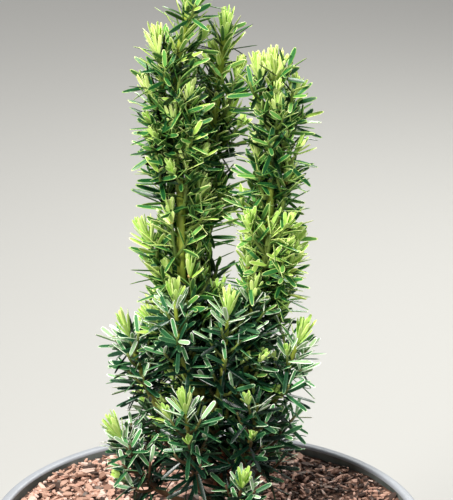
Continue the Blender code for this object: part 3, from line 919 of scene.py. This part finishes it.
def closes_gap(group, tip):
    """Whether a needle would close the gap between the columns, where light shows through."""
    if kind_of(group) == "bough":
        return False
    across = tip.x / MM
    above = (tip.z - SOIL_LEVEL) / MM
    for (left, right), (low, high), share in OPEN_AIR:
        if left < across < right and low < above < high:
            return rng.random() < share
    return False


def faces_out(group, direction):
    """Whether a needle of a lower bough points straight away from the plant."""
    if kind_of(group) == "column":
        return False
    return direction.y * (1 if group == "rear_boughs" else -1) > STRAIGHT_AWAY


# %% [markdown]
# The light fades towards the middle of a plant, and old needles there are darker than the
# young ones outside. So each needle's tone follows how far out its tip reaches: partly the
# old needles' own colour, partly painted shade inside and painted light outside. A needle
# is only noted down here, by its root, the ways it points and faces, its size, its bend and
# its tone. The meshes are made of these notes at the end, all at once.

# %% A needle's place
GROUND_CLEARANCE = 0.003
LIMB_CLEARANCE = 0.0002
ROLL = 0.5
FALLEN_SHARE = 0.9
HELD_BACK_SHARE = 0.6
OUTER_LIGHT = 0.4
EVEN_DEPTH = 0.68
rng = random.Random(21)
needles = []
tufts = []
scales = []
scars = []
twigs = []


def outwardness(group, tip):
    """How far out a needle's tip is: 0 at its column's stem or at the trunk, 1 outside."""
    centre = at_height(heart_of(group), (tip.z - SOIL_LEVEL) / MM)[0]
    reach = math.hypot(tip.x - centre.x, tip.y - centre.y)
    return min(1, reach / HABITS[kind_of(group)]["depth"])


def grow_needle(group, root, axis, turn, angle, length, width, bend, tone, into):
    """Add one needle on a shoot's side, unless it has no room."""
    direction = leaning(axis, turn, angle)
    facing = (axis - axis.project(direction)).normalized()
    facing.rotate(Quaternion(direction, rng.gauss(0, ROLL)))
    tip = root + direction * length + facing * bend
    points = np.array([root.lerp(tip, share) for share in (0.4, 0.6, 0.8, 1)])
    if points[:, 2].min() < SOIL_LEVEL + GROUND_CLEARANCE or hits_limb(points, LIMB_CLEARANCE):
        return
    if rng.random() < FALLEN_SHARE and hides_stem(group, points):
        scars.append(root)
        return
    if into is needles and rng.random() < HELD_BACK_SHARE and faces_out(group, direction):
        return
    if closes_gap(group, tip):
        return
    # Painted shade and light: the tone falls deep inside the plant and rises far out.
    if into is needles:
        tone += OUTER_LIGHT * (outwardness(group, tip) - EVEN_DEPTH)
    into.append((group, root, direction, facing, length, width, bend, tone))


# %% [markdown]
# Along a shoot the needles follow one another at a small spacing, each turned on from the
# last. They are longest about a third of the way along, and lighter towards the tip. Low on
# a shoot they are darker, as painted shade inside the plant. Half-way up, the columns have a
# band of needles painted lighter, as painted light that reaches them through the gap
# between the columns. Small random differences keep the shoots from looking like brushes.

# %% Needles along a shoot
# Painted light: the columns' needles half-way up, where light comes through the gap.
PAINTED_LIGHT_BAND = {"left_column": 0.3, "rear_column": 0.3, "right_column": 0.34}
BAND_HEIGHT = 186
BAND_REACH = 28
ANGLE_SPREAD = 7
TONE_SPREAD = 0.15
TURN_SPREAD = 0.08
STEP_RANGE = (0.8, 1.2)
WIDTH_RANGE = (0.9, 1.08)
ROOT_DEPTH = 0.55


def dress(group, route, start, end, radii, lengths, angles, spacing, tone):
    """Needles by turns along a stretch of a shoot."""
    habit = HABITS[kind_of(group)]
    lift, at_tip, foot_shade = habit["shades"]
    total = route_lengths(route)[-1]
    turn = rng.uniform(0, 2 * math.pi)
    distance = total * start
    while distance < total * end:
        share = distance / total
        point, axis = along(route, distance)
        part = (share - start) / (end - start)
        angle = math.radians(between(angles, part) + rng.gauss(0, ANGLE_SPREAD))
        side = leaning(axis, turn, math.pi / 2)
        longer = 0.8 + 0.35 * math.sin(math.pi * min(1, share + 0.15))
        length = rng.uniform(*lengths) * longer
        bend = length * (rng.uniform(-0.10, 0.04) - 0.1 * (1 - share) * rng.random())
        root = point + side * between(radii, share) * ROOT_DEPTH
        off_band = ((root.z - SOIL_LEVEL) / MM - BAND_HEIGHT) / BAND_REACH
        # Painted shade darkens a shoot's foot; painted light lifts the columns' band half-way up.
        shade = tone + lift + at_tip * share ** 4 - foot_shade * (1 - share)
        shade += PAINTED_LIGHT_BAND.get(group, 0) * math.exp(-(off_band ** 2)) + rng.gauss(0, TONE_SPREAD)
        width = habit["width"] * rng.uniform(*WIDTH_RANGE)
        grow_needle(group, root, axis, turn, angle, length, width, bend, shade, needles)
        turn += GOLDEN_TURN + rng.gauss(0, TURN_SPREAD)
        distance += spacing * rng.uniform(*STEP_RANGE)


# %% [markdown]
# A tuft of new growth is a tight bundle of soft, pale needles. The outer ones lean out most
# and the last ones stand nearly straight. At the foot of a big tuft three brown bud scales
# are left, from the bud that it burst from.

# %% Tufts
BIG_TUFT = 0.0105
BIG_COUNT = (15, 18)
SMALL_COUNT = (7, 9)
TUFT_LEANS = (30, 5)
NEW_WIDTH = 2.3 * MM
SCALE_TURN = 2.1
SCALE_LEAN = math.radians(34)
SCALE_SIZE = (2.6 * MM, 1.5 * MM)


def grow_tuft(group, tip, axis, size, tone):
    """A brush of new growth: soft needles in a tight bundle, with a few bud scales."""
    turn = rng.uniform(0, 2 * math.pi)
    is_big = size > BIG_TUFT
    count = rng.randint(*BIG_COUNT) if is_big else rng.randint(*SMALL_COUNT)
    for index in range(count):
        share = index / count
        turn += GOLDEN_TURN
        angle = math.radians(between(TUFT_LEANS, share)) * rng.uniform(0.8, 1.2)
        length = size * (0.86 + 0.2 * math.sin(math.pi * share)) * rng.uniform(0.88, 1.1)
        root = tip + axis * size * (0.3 * share - 0.03)
        bend = size * rng.uniform(0.0, 0.1)
        shade = tone + rng.gauss(0, 0.12)
        grow_needle(group, root, axis, turn, angle, length, NEW_WIDTH, bend, shade, tufts)
    for index in range(3 if is_big else 0):
        turn += SCALE_TURN
        root = tip - axis * 0.8 * MM
        grow_needle(group, root, axis, turn, SCALE_LEAN, *SCALE_SIZE, 0, 0, scales)


# %% [markdown]
# ## The masses
#
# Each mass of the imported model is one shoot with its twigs. The masses keep to the spaces
# that the model gives them: a twig whose tip is out of reach of its stem, or deeper in a
# neighbour's space than in its own, isn't grown.

# %% Masses
STEM_REACH = 27 * MM
BOUGH_REACH = 24 * MM
ELBOW = 0.12
BOUGH_GROUPS = {
    "front_boughs": (
        "front_right", "front_centre", "front_left", "low_front_right", "low_centre", "low_front",
    ),
    "left_boughs": ("left", "low_left"),
    "right_boughs": ("right", "low_right"),
    "rear_boughs": ("rear_left", "rear_right", "low_rear"),
}


def distance_to(route, point):
    """The distance from a point to the nearest part of a route."""
    nearest = math.inf
    for here, there in zip(route, route[1:]):
        run = there - here
        share = min(max((point - here).dot(run) / run.length_squared, 0), 1)
        nearest = min(nearest, (point - here - run * share).length)
    return nearest


def part_of(route, shares):
    """The points at some shares of a route's length."""
    total = route_lengths(route)[-1]
    return [along(route, total * share)[0] for share in shares]


def shoot_route(parent, above, bearing, reach, rise):
    """The route of a side shoot that leaves a stem and turns up beside it."""
    angle = math.radians(bearing)
    outward = Vector((math.cos(angle), math.sin(angle), 0))
    start = leave(parent, above, outward, SHOOT_RADIUS)
    centre, direction = at_height(parent["route"], above)
    end = centre + outward * reach * MM + direction * rise * MM
    middle = start[1].lerp(end, 0.45) + outward * ELBOW * reach * MM
    return smooth_route([*start, middle, end], 4)


masses = []
for group, stem in COLUMNS.items():
    limb = limbs[stem]
    tip_route = part_of(limb["route"], (TIP_FROM[stem], 0.98, 1))
    masses.append((group, f"foliage_{stem}_tip", tip_route, limb["route"], STEM_REACH))
    for number, (above, bearing, reach) in enumerate(SHOOTS[stem], 1):
        route = shoot_route(limb, above, bearing, reach, SHOOT_RISE)
        masses.append((group, f"foliage_{stem}_{number:02d}", route, limb["route"], STEM_REACH))
for group, names in BOUGH_GROUPS.items():
    for name in names:
        bare = BOUGHS[name][3]
        shares = [bare + (1 - bare) * step / 10 for step in range(11)]
        route = part_of(limbs["bough_" + name]["route"], shares)
        masses.append((group, "foliage_" + name, route, route, BOUGH_REACH))
print("masses:", len(masses))

# %% [markdown]
# Each column's leader is dressed in three stretches. Its needles get lighter towards its
# top, and it ends in a tuft. The right leader has two more tufts beside its own.

# %% Leaders
LEADER_TOP = 0.345
# From and to along the stem, spacing, longest needle, and the angles at foot and tip.
STRETCHES = (
    (0.28, 0.55, 1.35, 23, (52, 50)),
    (0.55, 0.8, 1.3, 20, (66, 70)),
    (0.8, 1.0, 1.1, 23, (58, 24)),
)
SHORTEST = 0.0155
LEADER_TUFT = 0.0145
TWIN_TUFT = 0.0155
TWIN_TONE = 0.8
TWIN_LEAN = 0.32
TWIN_DROP = 4 * MM
HIGHER_LIGHTER = 0.22
TOP_LIGHTER = 0.28
TOP_FROM = 0.65
TOP_LIGHT = {"left_column": 0.24, "rear_column": 0.24, "right_column": 0.16}
TUFT_TONE = {"left_column": 0.5, "rear_column": 0.5, "right_column": 0.9}


def height_share(point):
    """How high a point is, from 0 at the mix to 1 at the leader's tip."""
    return (point.z - SOIL_LEVEL) / LEADER_TOP


for group, stem in COLUMNS.items():
    route = limbs[stem]["route"]
    total = route_lengths(route)[-1]
    for start, end, spacing, longest, angles in STRETCHES:
        high = height_share(along(route, total * end)[0])
        tone = HIGHER_LIGHTER * high + TOP_LIGHTER * max(0, high - TOP_FROM)
        if end == 1:
            tone += TOP_LIGHT[group]
        lengths = (SHORTEST, longest * MM)
        dress(group, route, start, end, STEM_RADII, lengths, angles, spacing * MM, tone)
    tip, axis = along(route, total)
    grow_tuft(group, tip, axis, LEADER_TUFT, TUFT_TONE[group])
    if group == "right_column":
        for side in (-1, 1):
            lean = (axis + TWIN_LEAN * Vector((side, -0.3, 0))).normalized()
            grow_tuft(group, tip - axis * TWIN_DROP, lean, TWIN_TUFT, TWIN_TONE)
print("needles on the leaders:", len(needles))

# %% [markdown]
# Below the tuft of a side shoot stands a collar of longer, paler needles. Twigs leave the
# shoot by turns, each bends up half-way, and some of them, most of all high on the plant,
# end in a small tuft. A twig that would stray too far, into a neighbour's space, into a limb
# or into the mix isn't grown.

# %% Collars and twigs
COLLAR_DROPS = (0.5, 4)
COLLAR_LEANS = (32, 72)
COLLAR_LENGTHS = (0.0125, 0.017)
COLLAR_WIDTH = 2.2 * MM
COLLAR_TONES = (0.7, 1.0)
COLLAR_BEND = -0.06
TWIG_RADII = (1.1 * MM, 0.7 * MM)
TWIG_SPAN = (0.22, 0.88)
TWIG_LEANS = (36, 50)
TWIG_LENGTHS = (0.013, 0.02)
TWIG_BEND = 0.55
TWIG_RISE = 0.6
TWIG_ROOM = 0.009
NEIGHBOUR_SLACK = 0.007
TWIG_CLEARANCE = (0.008, 0.0008)
TWIG_TUFT_SIZES = (0.007, 0.01)
# A chance and a tone are pairs: for a shoot at the mix and one as high as the leader's tip.
TWIG_TUFT_CHANCE = (0.1, 0.3)
TWIG_TUFT_TONES = (0.25, 0.8)


def grow_collar(group, tip, axis, count):
    """The pale needles that stand round the foot of a tuft."""
    for index in range(count):
        root = tip - axis * rng.uniform(*COLLAR_DROPS) * MM
        lean = math.radians(rng.uniform(*COLLAR_LEANS))
        length = rng.uniform(*COLLAR_LENGTHS)
        shade = rng.uniform(*COLLAR_TONES)
        turn = index * GOLDEN_TURN
        bend = COLLAR_BEND * length
        grow_needle(group, root, axis, turn, lean, length, COLLAR_WIDTH, bend, shade, needles)


def grow_twigs(group, route, heart, reach, tone, high):
    """Twigs by turns along a shoot, each kept within the shoot's own space."""
    habit = HABITS[kind_of(group)]
    total = route_lengths(route)[-1]
    count = round(total / habit["twig_every"])
    turn = rng.uniform(0, 2 * math.pi)
    for index in range(count):
        turn += GOLDEN_TURN
        start, direction = along(route, total * between(TWIG_SPAN, index / count))
        lean = leaning(direction, turn, math.radians(rng.uniform(*TWIG_LEANS)))
        length = rng.uniform(*TWIG_LENGTHS)
        middle = start + lean * length * TWIG_BEND
        end = middle + (lean + TWIG_RISE * UP).normalized() * length * (1 - TWIG_BEND)
        others = [distance_to(mass[2], end) for mass in masses if mass[2] is not route]
        own = distance_to(route, end)
        if distance_to(heart, end) > reach - TWIG_ROOM or own > min(others) + NEIGHBOUR_SLACK:
            continue
        from_ground, from_limb = TWIG_CLEARANCE
        if end.z < SOIL_LEVEL + from_ground or hits_limb(np.array([middle, end]), from_limb):
            continue
        if closes_gap(group, end):
            continue
        twig = smooth_route([start, middle, end], 3)
        twigs.append((group, twig, TWIG_RADII))
        angles, spacing = habit["angles"], habit["spacing"]
        lengths = habit["twig_lengths"]
        dress(group, twig, 0.25, 0.97, TWIG_RADII, lengths, angles, spacing, tone + 0.05)
        if rng.random() < between(TWIG_TUFT_CHANCE, high):
            tip, axis = along(twig, length)
            size = rng.uniform(*TWIG_TUFT_SIZES)
            grow_tuft(group, tip, axis, size, between(TWIG_TUFT_TONES, high))


# %% [markdown]
# A mass is a shoot with its needles, its collar and tuft, and its twigs. Some shoots are
# lighter than their neighbours, and some tufts plumper, so those are named. Two low shoots
# have no tuft.

# %% Side shoots
TUFT_SIZES = (0.0125, 0.0165)
TUFT_TONES = (0.35, 0.9)
LIGHTER = {"foliage_low_left": 0.14, "foliage_right": 0.24, "foliage_low_right": 0.16}
PLUMPER = {"foliage_stem_left_01": 1.25, "foliage_low_left": 1.2, "foliage_front_right": 1.15}
NO_TUFT = ("foliage_low_right", "foliage_low_centre")


def grow_mass(group, route, heart, reach, has_own_twig, has_tuft, lighter=0, plumper=1):
    """Needles and twigs on one shoot, with a collar and tuft at its tip where it has one."""
    habit = HABITS[kind_of(group)]
    tip, axis = along(route, route_lengths(route)[-1])
    high = height_share(tip)
    base, gain, gain_from = habit["mass_tone"]
    tone = lighter + (base + gain * max(0, high - gain_from))
    radii = habit["radii"]
    if has_own_twig:
        twigs.append((group, route, radii))
    angles, spacing = habit["angles"], habit["spacing"]
    dress(group, route, 0.1, 0.97, radii, habit["lengths"], angles, spacing, tone)
    if has_tuft:
        grow_collar(group, tip, axis, habit["collar"])
        size = rng.uniform(*TUFT_SIZES) * plumper
        grow_tuft(group, tip, axis, size, between(TUFT_TONES, high))
    grow_twigs(group, route, heart, reach, tone, high)


for group, name, route, heart, reach in masses:
    is_tip = name.endswith("_tip")
    has_own_twig = group in COLUMNS and not is_tip
    has_tuft = not is_tip and name not in NO_TUFT
    lighter = LIGHTER.get(name, 0)
    plumper = PLUMPER.get(name, 1)
    grow_mass(group, route, heart, reach, has_own_twig, has_tuft, lighter, plumper)
print("needles with those of the side shoots:", len(needles), "twigs:", len(twigs))

# %% [markdown]
# Between the side shoots of the model the columns carry finer ones, each with its height,
# bearing, reach and whether it ends in a tuft. More of them follow by turns up each stem,
# wherever no other shoot is near and the bare front of the stem stays free. The lower ones
# reach further out.

# %% Fine shoots
BETWEEN = {
    "left_column": [
        (119, 203, 19, True), (134, 182, 15, False), (144, 165, 12, True), (156, 206, 13, False),
    ],
    "rear_column": [(186, 10, 11, False), (197, 345, 11, False)],
    "right_column": [
        (156, 176, 10, True), (188, 190, 8, False), (176, 272, 10, True), (158, 330, 13, False),
        (164, 6, 14, True), (138, 8, 14, False),
    ],
}
FINE_RISE = 20
LOWEST_FINE = 58
FINE_EVERY = 8
BELOW_TOP = 30
FRONT_BEARINGS = (215, 325)
ROOM_UP = 11
ROOM_ROUND = 45
FINE_REACHES = (6, 11)
FINE_RISES = (14, 21)
LONGER_BELOW = 210
FINE_TUFT_CHANCE = 0.25
FINE_TUFT_BELOW = 235


def is_crowded(group, above, bearing):
    """Whether a fine shoot would stand before the bare stem or close to another shoot."""
    low, high = BARE_FRONTS.get(group, (0, 0))
    from_left, to_right = FRONT_BEARINGS
    if low - 12 < above < high - 6 and from_left < bearing < to_right:
        return True
    for other_above, other_bearing, _ in SHOOTS[COLUMNS[group]]:
        apart = abs((bearing - other_bearing + 180) % 360 - 180)
        if abs(above - other_above) < ROOM_UP and apart < ROOM_ROUND:
            return True
    return False


fine = 0
for group, stem in COLUMNS.items():
    limb = limbs[stem]
    for above, bearing, reach, has_tuft in BETWEEN[group]:
        route = shoot_route(limb, above, bearing, reach, FINE_RISE)
        grow_mass(group, route, limb["route"], STEM_REACH, True, has_tuft)
        fine += 1
    bearing = rng.uniform(0, 360)
    for above in range(LOWEST_FINE, math.ceil(limb["top"] - BELOW_TOP), FINE_EVERY):
        bearing = (bearing + 137.5) % 360
        if is_crowded(group, above, bearing):
            continue
        reach = rng.uniform(*FINE_REACHES) * (1 + 0.7 * max(0, (LONGER_BELOW - above) / 150))
        route = shoot_route(limb, above, bearing, reach, rng.uniform(*FINE_RISES))
        has_tuft = rng.random() < FINE_TUFT_CHANCE and above < FINE_TUFT_BELOW
        grow_mass(group, route, limb["route"], STEM_REACH, True, has_tuft)
        fine += 1
print("fine shoots:", fine, "twigs:", len(twigs))
print("needles:", len(needles), "new needles:", len(tufts), "scales:", len(scales))

# %% [markdown]
# ## From rule to mesh
#
# Each group of shoots becomes a piece of needles, a piece of new growth and a piece of
# twigs. All needles of a piece are worked out together: the one needle's corners are
# stretched, bent and turned by arrays, which takes a moment where thousands of copied
# objects would take minutes. A tone has four colours: upper side, margin, underside, tip.

# %% Needle finishes
# Painted highlights: each tone's tip colour, and the whitish margins of the boughs' lighter tones.
TONES = {
    "column": {
        "shade": ((12, 36, 18), (26, 54, 24), (20, 44, 18), (54, 88, 38)),
        "deep": ((28, 72, 38), (80, 126, 58), (36, 76, 34), (126, 162, 80)),
        "mid": ((54, 110, 56), (144, 184, 94), (66, 110, 50), (188, 212, 130)),
        "fresh": ((98, 154, 72), (192, 214, 124), (106, 150, 68), (224, 235, 162)),
        "gold": ((156, 193, 84), (216, 231, 140), (166, 196, 88), (234, 241, 172)),
    },
    "bough": {
        "shade": ((10, 32, 22), (16, 44, 30), (18, 42, 28), (40, 74, 50)),
        "deep": ((27, 64, 40), (48, 92, 60), (42, 82, 52), (110, 152, 102)),
        "mid": ((44, 92, 56), (104, 150, 100), (66, 112, 66), (200, 226, 180)),
        "fresh": ((78, 134, 80), (214, 234, 198), (112, 158, 96), (244, 250, 232)),
        # The palest young needles at the shoots' tips, nearly white with a painted glare of the
        # sky.
        "pale_glare": ((150, 186, 138), (244, 249, 232), (164, 194, 142), (252, 253, 246)),
    },
}
NEW_TONES = {
    "leaf": ((146, 192, 86), (172, 210, 112), (164, 204, 96), (196, 224, 130)),
    "lime": ((174, 214, 102), (198, 228, 130), (188, 220, 112), (216, 236, 150)),
    "lemon": ((202, 228, 120), (220, 238, 148), (210, 232, 132), (234, 244, 170)),
}
SCALE_TONES = {"scale": ((176, 136, 62), (196, 156, 84), (160, 120, 58), (206, 172, 104))}
SIDE_NAMES = ("upper", "margin", "under", "tip")
SIDE_ROUGHNESS = (0.3, 0.36, 0.5, 0.4)
NEEDLE_SHEEN = 0.32


def tone_finishes(prefix, tones):
    """Four finishes for each tone: upper side, margin, underside and tip."""
    made = []
    for tone, colours in tones.items():
        for side, colour, rough in zip(SIDE_NAMES, colours, SIDE_ROUGHNESS):
            name = f"{prefix}_{tone}_{side}"
            made.append(finish(name, colour, rough, 1500, 0.00008, sheen=NEEDLE_SHEEN))
    return made


needle_finishes = {kind: tone_finishes(kind, tones) for kind, tones in TONES.items()}
new_finishes = tone_finishes("growth", NEW_TONES)
scale_finishes = tone_finishes("bud", SCALE_TONES)
print("needle finishes:", sum(len(made) for made in needle_finishes.values()))

# %% [markdown]
# A needle's tone picks one group of four finishes, and its faces take them by their side.
# A needle bends more and more towards its tip, by the square of the way along it.

# %% Needles, new growth and bud scales
def leaf_mesh(name, leaves, shape, finishes):
    """One mesh of many bent copies of a needle."""
    shape_corners, shape_faces, shape_sides = shape
    roots, ways, outs = (np.array([leaf[column] for leaf in leaves]) for column in (1, 2, 3))
    sides = np.cross(ways, outs)
    x, y, z = shape_corners.T
    length, width, bend, tone = np.array([leaf[4:8] for leaf in leaves]).T
    depth = np.minimum(THICKNESS, 0.3 * width)
    corners = (
        roots[:, None]
        + ways[:, None] * (length[:, None] * y)[:, :, None]
        + sides[:, None] * (width[:, None] * x)[:, :, None]
        + outs[:, None] * (depth[:, None] * z + bend[:, None] * y ** 2)[:, :, None]
    )
    faces = []
    for index in range(len(leaves)):
        start = index * len(shape_corners)
        faces += [tuple(start + corner for corner in face) for face in shape_faces]
    tones = len(finishes) // SIDES
    levels = np.clip((tone * tones).astype(int), 0, tones - 1)
    numbers = (levels[:, None] * SIDES + np.array(shape_sides)[None]).ravel().astype(np.int32)
    item = joined(name, corners.reshape(-1, 3), faces, numbers, finishes)
    edit(item)
    close(item)
    bpy.ops.object.shade_smooth_by_angle(angle=math.radians(28))
    return item


group_names = [*COLUMNS, *BOUGH_GROUPS]
for group in group_names:
    stands_for = [mass[1] for mass in masses if mass[0] == group]
    name = "needles_" + group
    own = [leaf for leaf in needles if leaf[0] == group]
    shape = pointed_needle if kind_of(group) == "column" else blunt_needle
    keep(leaf_mesh(name, own, shape, needle_finishes[kind_of(group)]), name, "needles", *stands_for)
    name = "new_growth_" + group
    own = [leaf for leaf in tufts if leaf[0] == group]
    keep(leaf_mesh(name, own, blunt_needle, new_finishes), name, "new_growth")
item = leaf_mesh("bud_scales", scales, pointed_needle, scale_finishes)
keep(item, "bud_scales", "new_growth")

# %% [markdown]
# ## Bark
#
# Young yew stems are green and ribbed: below each needle a ridge runs down the stem. The
# foot is woody, red-brown and flaky. Towards the mix, green bark turns brown with a ragged
# edge, which a noise gives: it is added to the height before the height picks the colour.

# %% Bark finishes
OLD_BELOW = 0.085
YOUNG_ABOVE = 0.165
RAGGED = 0.05
PATCHES = 120


def aged(material, colour):
    """Turn a finish towards an older colour near the mix, with a ragged edge."""
    shader = shader_of(material)
    young = shader.inputs["Base Color"].links[0].from_socket
    split = add_node(material, "SeparateXYZ", {"Vector": own_place(material)})
    inputs = {0: cloud(material, PATCHES, 2), 1: RAGGED, 2: split.outputs["Z"]}
    ragged = add_node(material, "Math", inputs, ("operation", "MULTIPLY_ADD")).outputs["Value"]
    inputs = {"Value": ragged, "From Min": SOIL_LEVEL + YOUNG_ABOVE}
    inputs["From Max"] = SOIL_LEVEL + OLD_BELOW
    age = add_node(material, "MapRange", inputs).outputs["Result"]
    inputs = {"Factor": age, "A": young, "B": (*linear(colour), 1)}
    blend = add_node(material, "Mix", inputs, ("data_type", "RGBA"))
    feed(material, shader, {"Base Color": blend.outputs["Result"]})


green_bark = finish("bark_green", (150, 164, 62), 0.5, 800, 0.0003, (1, 1, 0.2))
mottle(green_bark, (112, 132, 40), (166, 180, 74), 170, (1, 1, 0.2))
aged(green_bark, (84, 62, 40))
# The twigs' bark is the green bark painted darker, as painted shade inside the masses.
shaded_twig_bark = finish("bark_twig_shaded", (92, 112, 48), 0.5, 900, 0.0002, (1, 1, 0.2))
mottle(shaded_twig_bark, (72, 94, 38), (118, 136, 62), 180, (1, 1, 0.3))
aged(shaded_twig_bark, (78, 58, 38))
brown_bark = finish("bark_brown", (112, 66, 44), 0.8, 600, 0.0009, (1, 1, 0.25))
mottle(brown_bark, (70, 40, 30), (150, 92, 62), 260, (1, 1, 0.25))
print("bark finishes:", [bark.name for bark in (green_bark, shaded_twig_bark, brown_bark)])

# %% [markdown]
# Each limb is a bevelled curve turned into a mesh, so that it tapers smoothly and is closed
# at both ends. Its corners are then moved outwards: a little by a noise, and more on a ridge
# that starts at each needle's root or scar and fades out below it.

# %% Bark helpers
AXIS_STEP = 1.3 * MM
FLARE_REACH = 7 * MM
MERGE_BELOW = 0.02 * MM
RIDGE_LENGTH = 0.009
RIDGE_START = -0.0008
RIDGE_SHARPNESS = 0.09
ROOT_REACH = 0.003
BARK_GRAIN = (700, 700, 190)


def tube(name, limb, flare):
    """A limb as a closed tube of mesh, wider at its foot, and the points of its axis."""
    route = limb["route"]
    total = route_lengths(route)[-1]
    count = max(12, round(total / AXIS_STEP))
    axis = [along(route, total * index / count)[0] for index in range(count + 1)]
    curve = bpy.data.curves.new(name, "CURVE")
    curve.dimensions = "3D"
    curve.bevel_depth = 1
    curve.bevel_resolution = 4
    curve.use_fill_caps = True
    spline = curve.splines.new("POLY")
    spline.points.add(count)
    for index, (point, centre) in enumerate(zip(spline.points, axis)):
        share = index / count
        swelling = flare * math.exp(-total * share / FLARE_REACH)
        point.co = (*centre, 1)
        point.radius = between(limb["radii"], share) + swelling
    pick(add_object(name, curve))
    bpy.ops.object.convert(target="MESH")
    item = bpy.context.object
    edit(item)
    bpy.ops.mesh.remove_doubles(threshold=MERGE_BELOW)
    return close(item), np.array(axis), total / count


def raise_bark(item, axis, spacing, roughness, ridge):
    """Roughen a tube, and raise a ridge that runs down from each needle's root."""
    corners = np.array([tuple(corner.co) for corner in item.data.vertices])
    nearest = np.linalg.norm(corners[:, None] - axis[None], axis=2).argmin(1)
    outward = corners - axis[nearest]
    outward /= np.maximum(np.linalg.norm(outward, axis=1), 1e-6)[:, None]
    lift = np.array([noise.noise(Vector(corner)) for corner in corners * BARK_GRAIN]) * roughness
    roots = np.array([leaf[1] for leaf in needles] + scars)
    near = np.linalg.norm(roots[:, None] - axis[None], axis=2)
    stations = near.argmin(1)
    own = near.min(1) < ROOT_REACH
    for root, station in zip(roots[own], stations[own]):
        side = root - axis[station]
        side /= max(np.linalg.norm(side), 1e-6)
        below = (station - nearest) * spacing
        facing = np.clip(outward @ side, -1, 1)
        run = np.clip(1 - below / RIDGE_LENGTH, 0, 1) * (below > RIDGE_START)
        lift = np.maximum(lift, ridge * run * np.exp(-((1 - facing) / RIDGE_SHARPNESS)))
    corners += outward * lift[:, None]
    item.data.vertices.foreach_set("co", corners.ravel())
    item.data.update()
    bpy.ops.object.shade_smooth_by_angle(angle=math.radians(70))


# %% [markdown]
# The trunk has old flaky bark, a wide foot and no ridges. All other limbs are green.

# %% Bark pieces
# The flare at the foot, the roughness and the height of the ridges.
OLD_WOOD = (4.5 * MM, 0.5 * MM, 0)
YOUNG_WOOD = (0.6 * MM, 0.1 * MM, 0.4 * MM)
for name, limb in limbs.items():
    is_trunk = name == "trunk"
    flare, roughness, ridge = OLD_WOOD if is_trunk else YOUNG_WOOD
    item, axis, spacing = tube(name + "_wood", limb, flare)
    raise_bark(item, axis, spacing, roughness, ridge)
    item.data.materials.append(brown_bark if is_trunk else green_bark)
    stands_for = [name] if name in NODES else []
    keep(item, name + "_bark", "brown_wood" if is_trunk else "green_wood", *stands_for)

# %% [markdown]
# The twigs inside the masses are too many to model one by one. They are plain tapering
# tubes, worked out from their routes and joined, one piece to a group. Their bark is painted
# darker than the stems', as painted shade inside the masses.

# %% Twigs
TWIG_SIDES = 7
FIRST_SIDE = Vector((0.3, -1, 0.1))


def tube_arrays(route, radii):
    """Corners and faces of a closed tapering tube along a route."""
    corners = []
    side = FIRST_SIDE
    lengths = route_lengths(route)
    for index, centre in enumerate(route):
        before = route[max(index - 1, 0)]
        after = route[min(index + 1, len(route) - 1)]
        normal = (after - before).normalized()
        across = (side - side.project(normal)).normalized()
        other = normal.cross(across)
        radius = between(radii, lengths[index] / lengths[-1])
        for step in range(TWIG_SIDES):
            angle = 2 * math.pi * step / TWIG_SIDES
            corners.append(centre + radius * (math.cos(angle) * across + math.sin(angle) * other))
        side = across
    faces = [tuple(reversed(range(TWIG_SIDES)))]
    for low in range(0, (len(route) - 1) * TWIG_SIDES, TWIG_SIDES):
        high = low + TWIG_SIDES
        for step in range(TWIG_SIDES):
            onward = (step + 1) % TWIG_SIDES
            faces.append((low + step, low + onward, high + onward, high + step))
    last = (len(route) - 1) * TWIG_SIDES
    faces.append(tuple(last + step for step in range(TWIG_SIDES)))
    return np.array([tuple(corner) for corner in corners]), faces


for group in group_names:
    copies = [(*tube_arrays(route, radii), 0) for name, route, radii in twigs if name == group]
    item = scattered("twigs", copies, [shaded_twig_bark])
    item.data.shade_smooth()
    keep(item, "twigs_" + group, "green_wood")
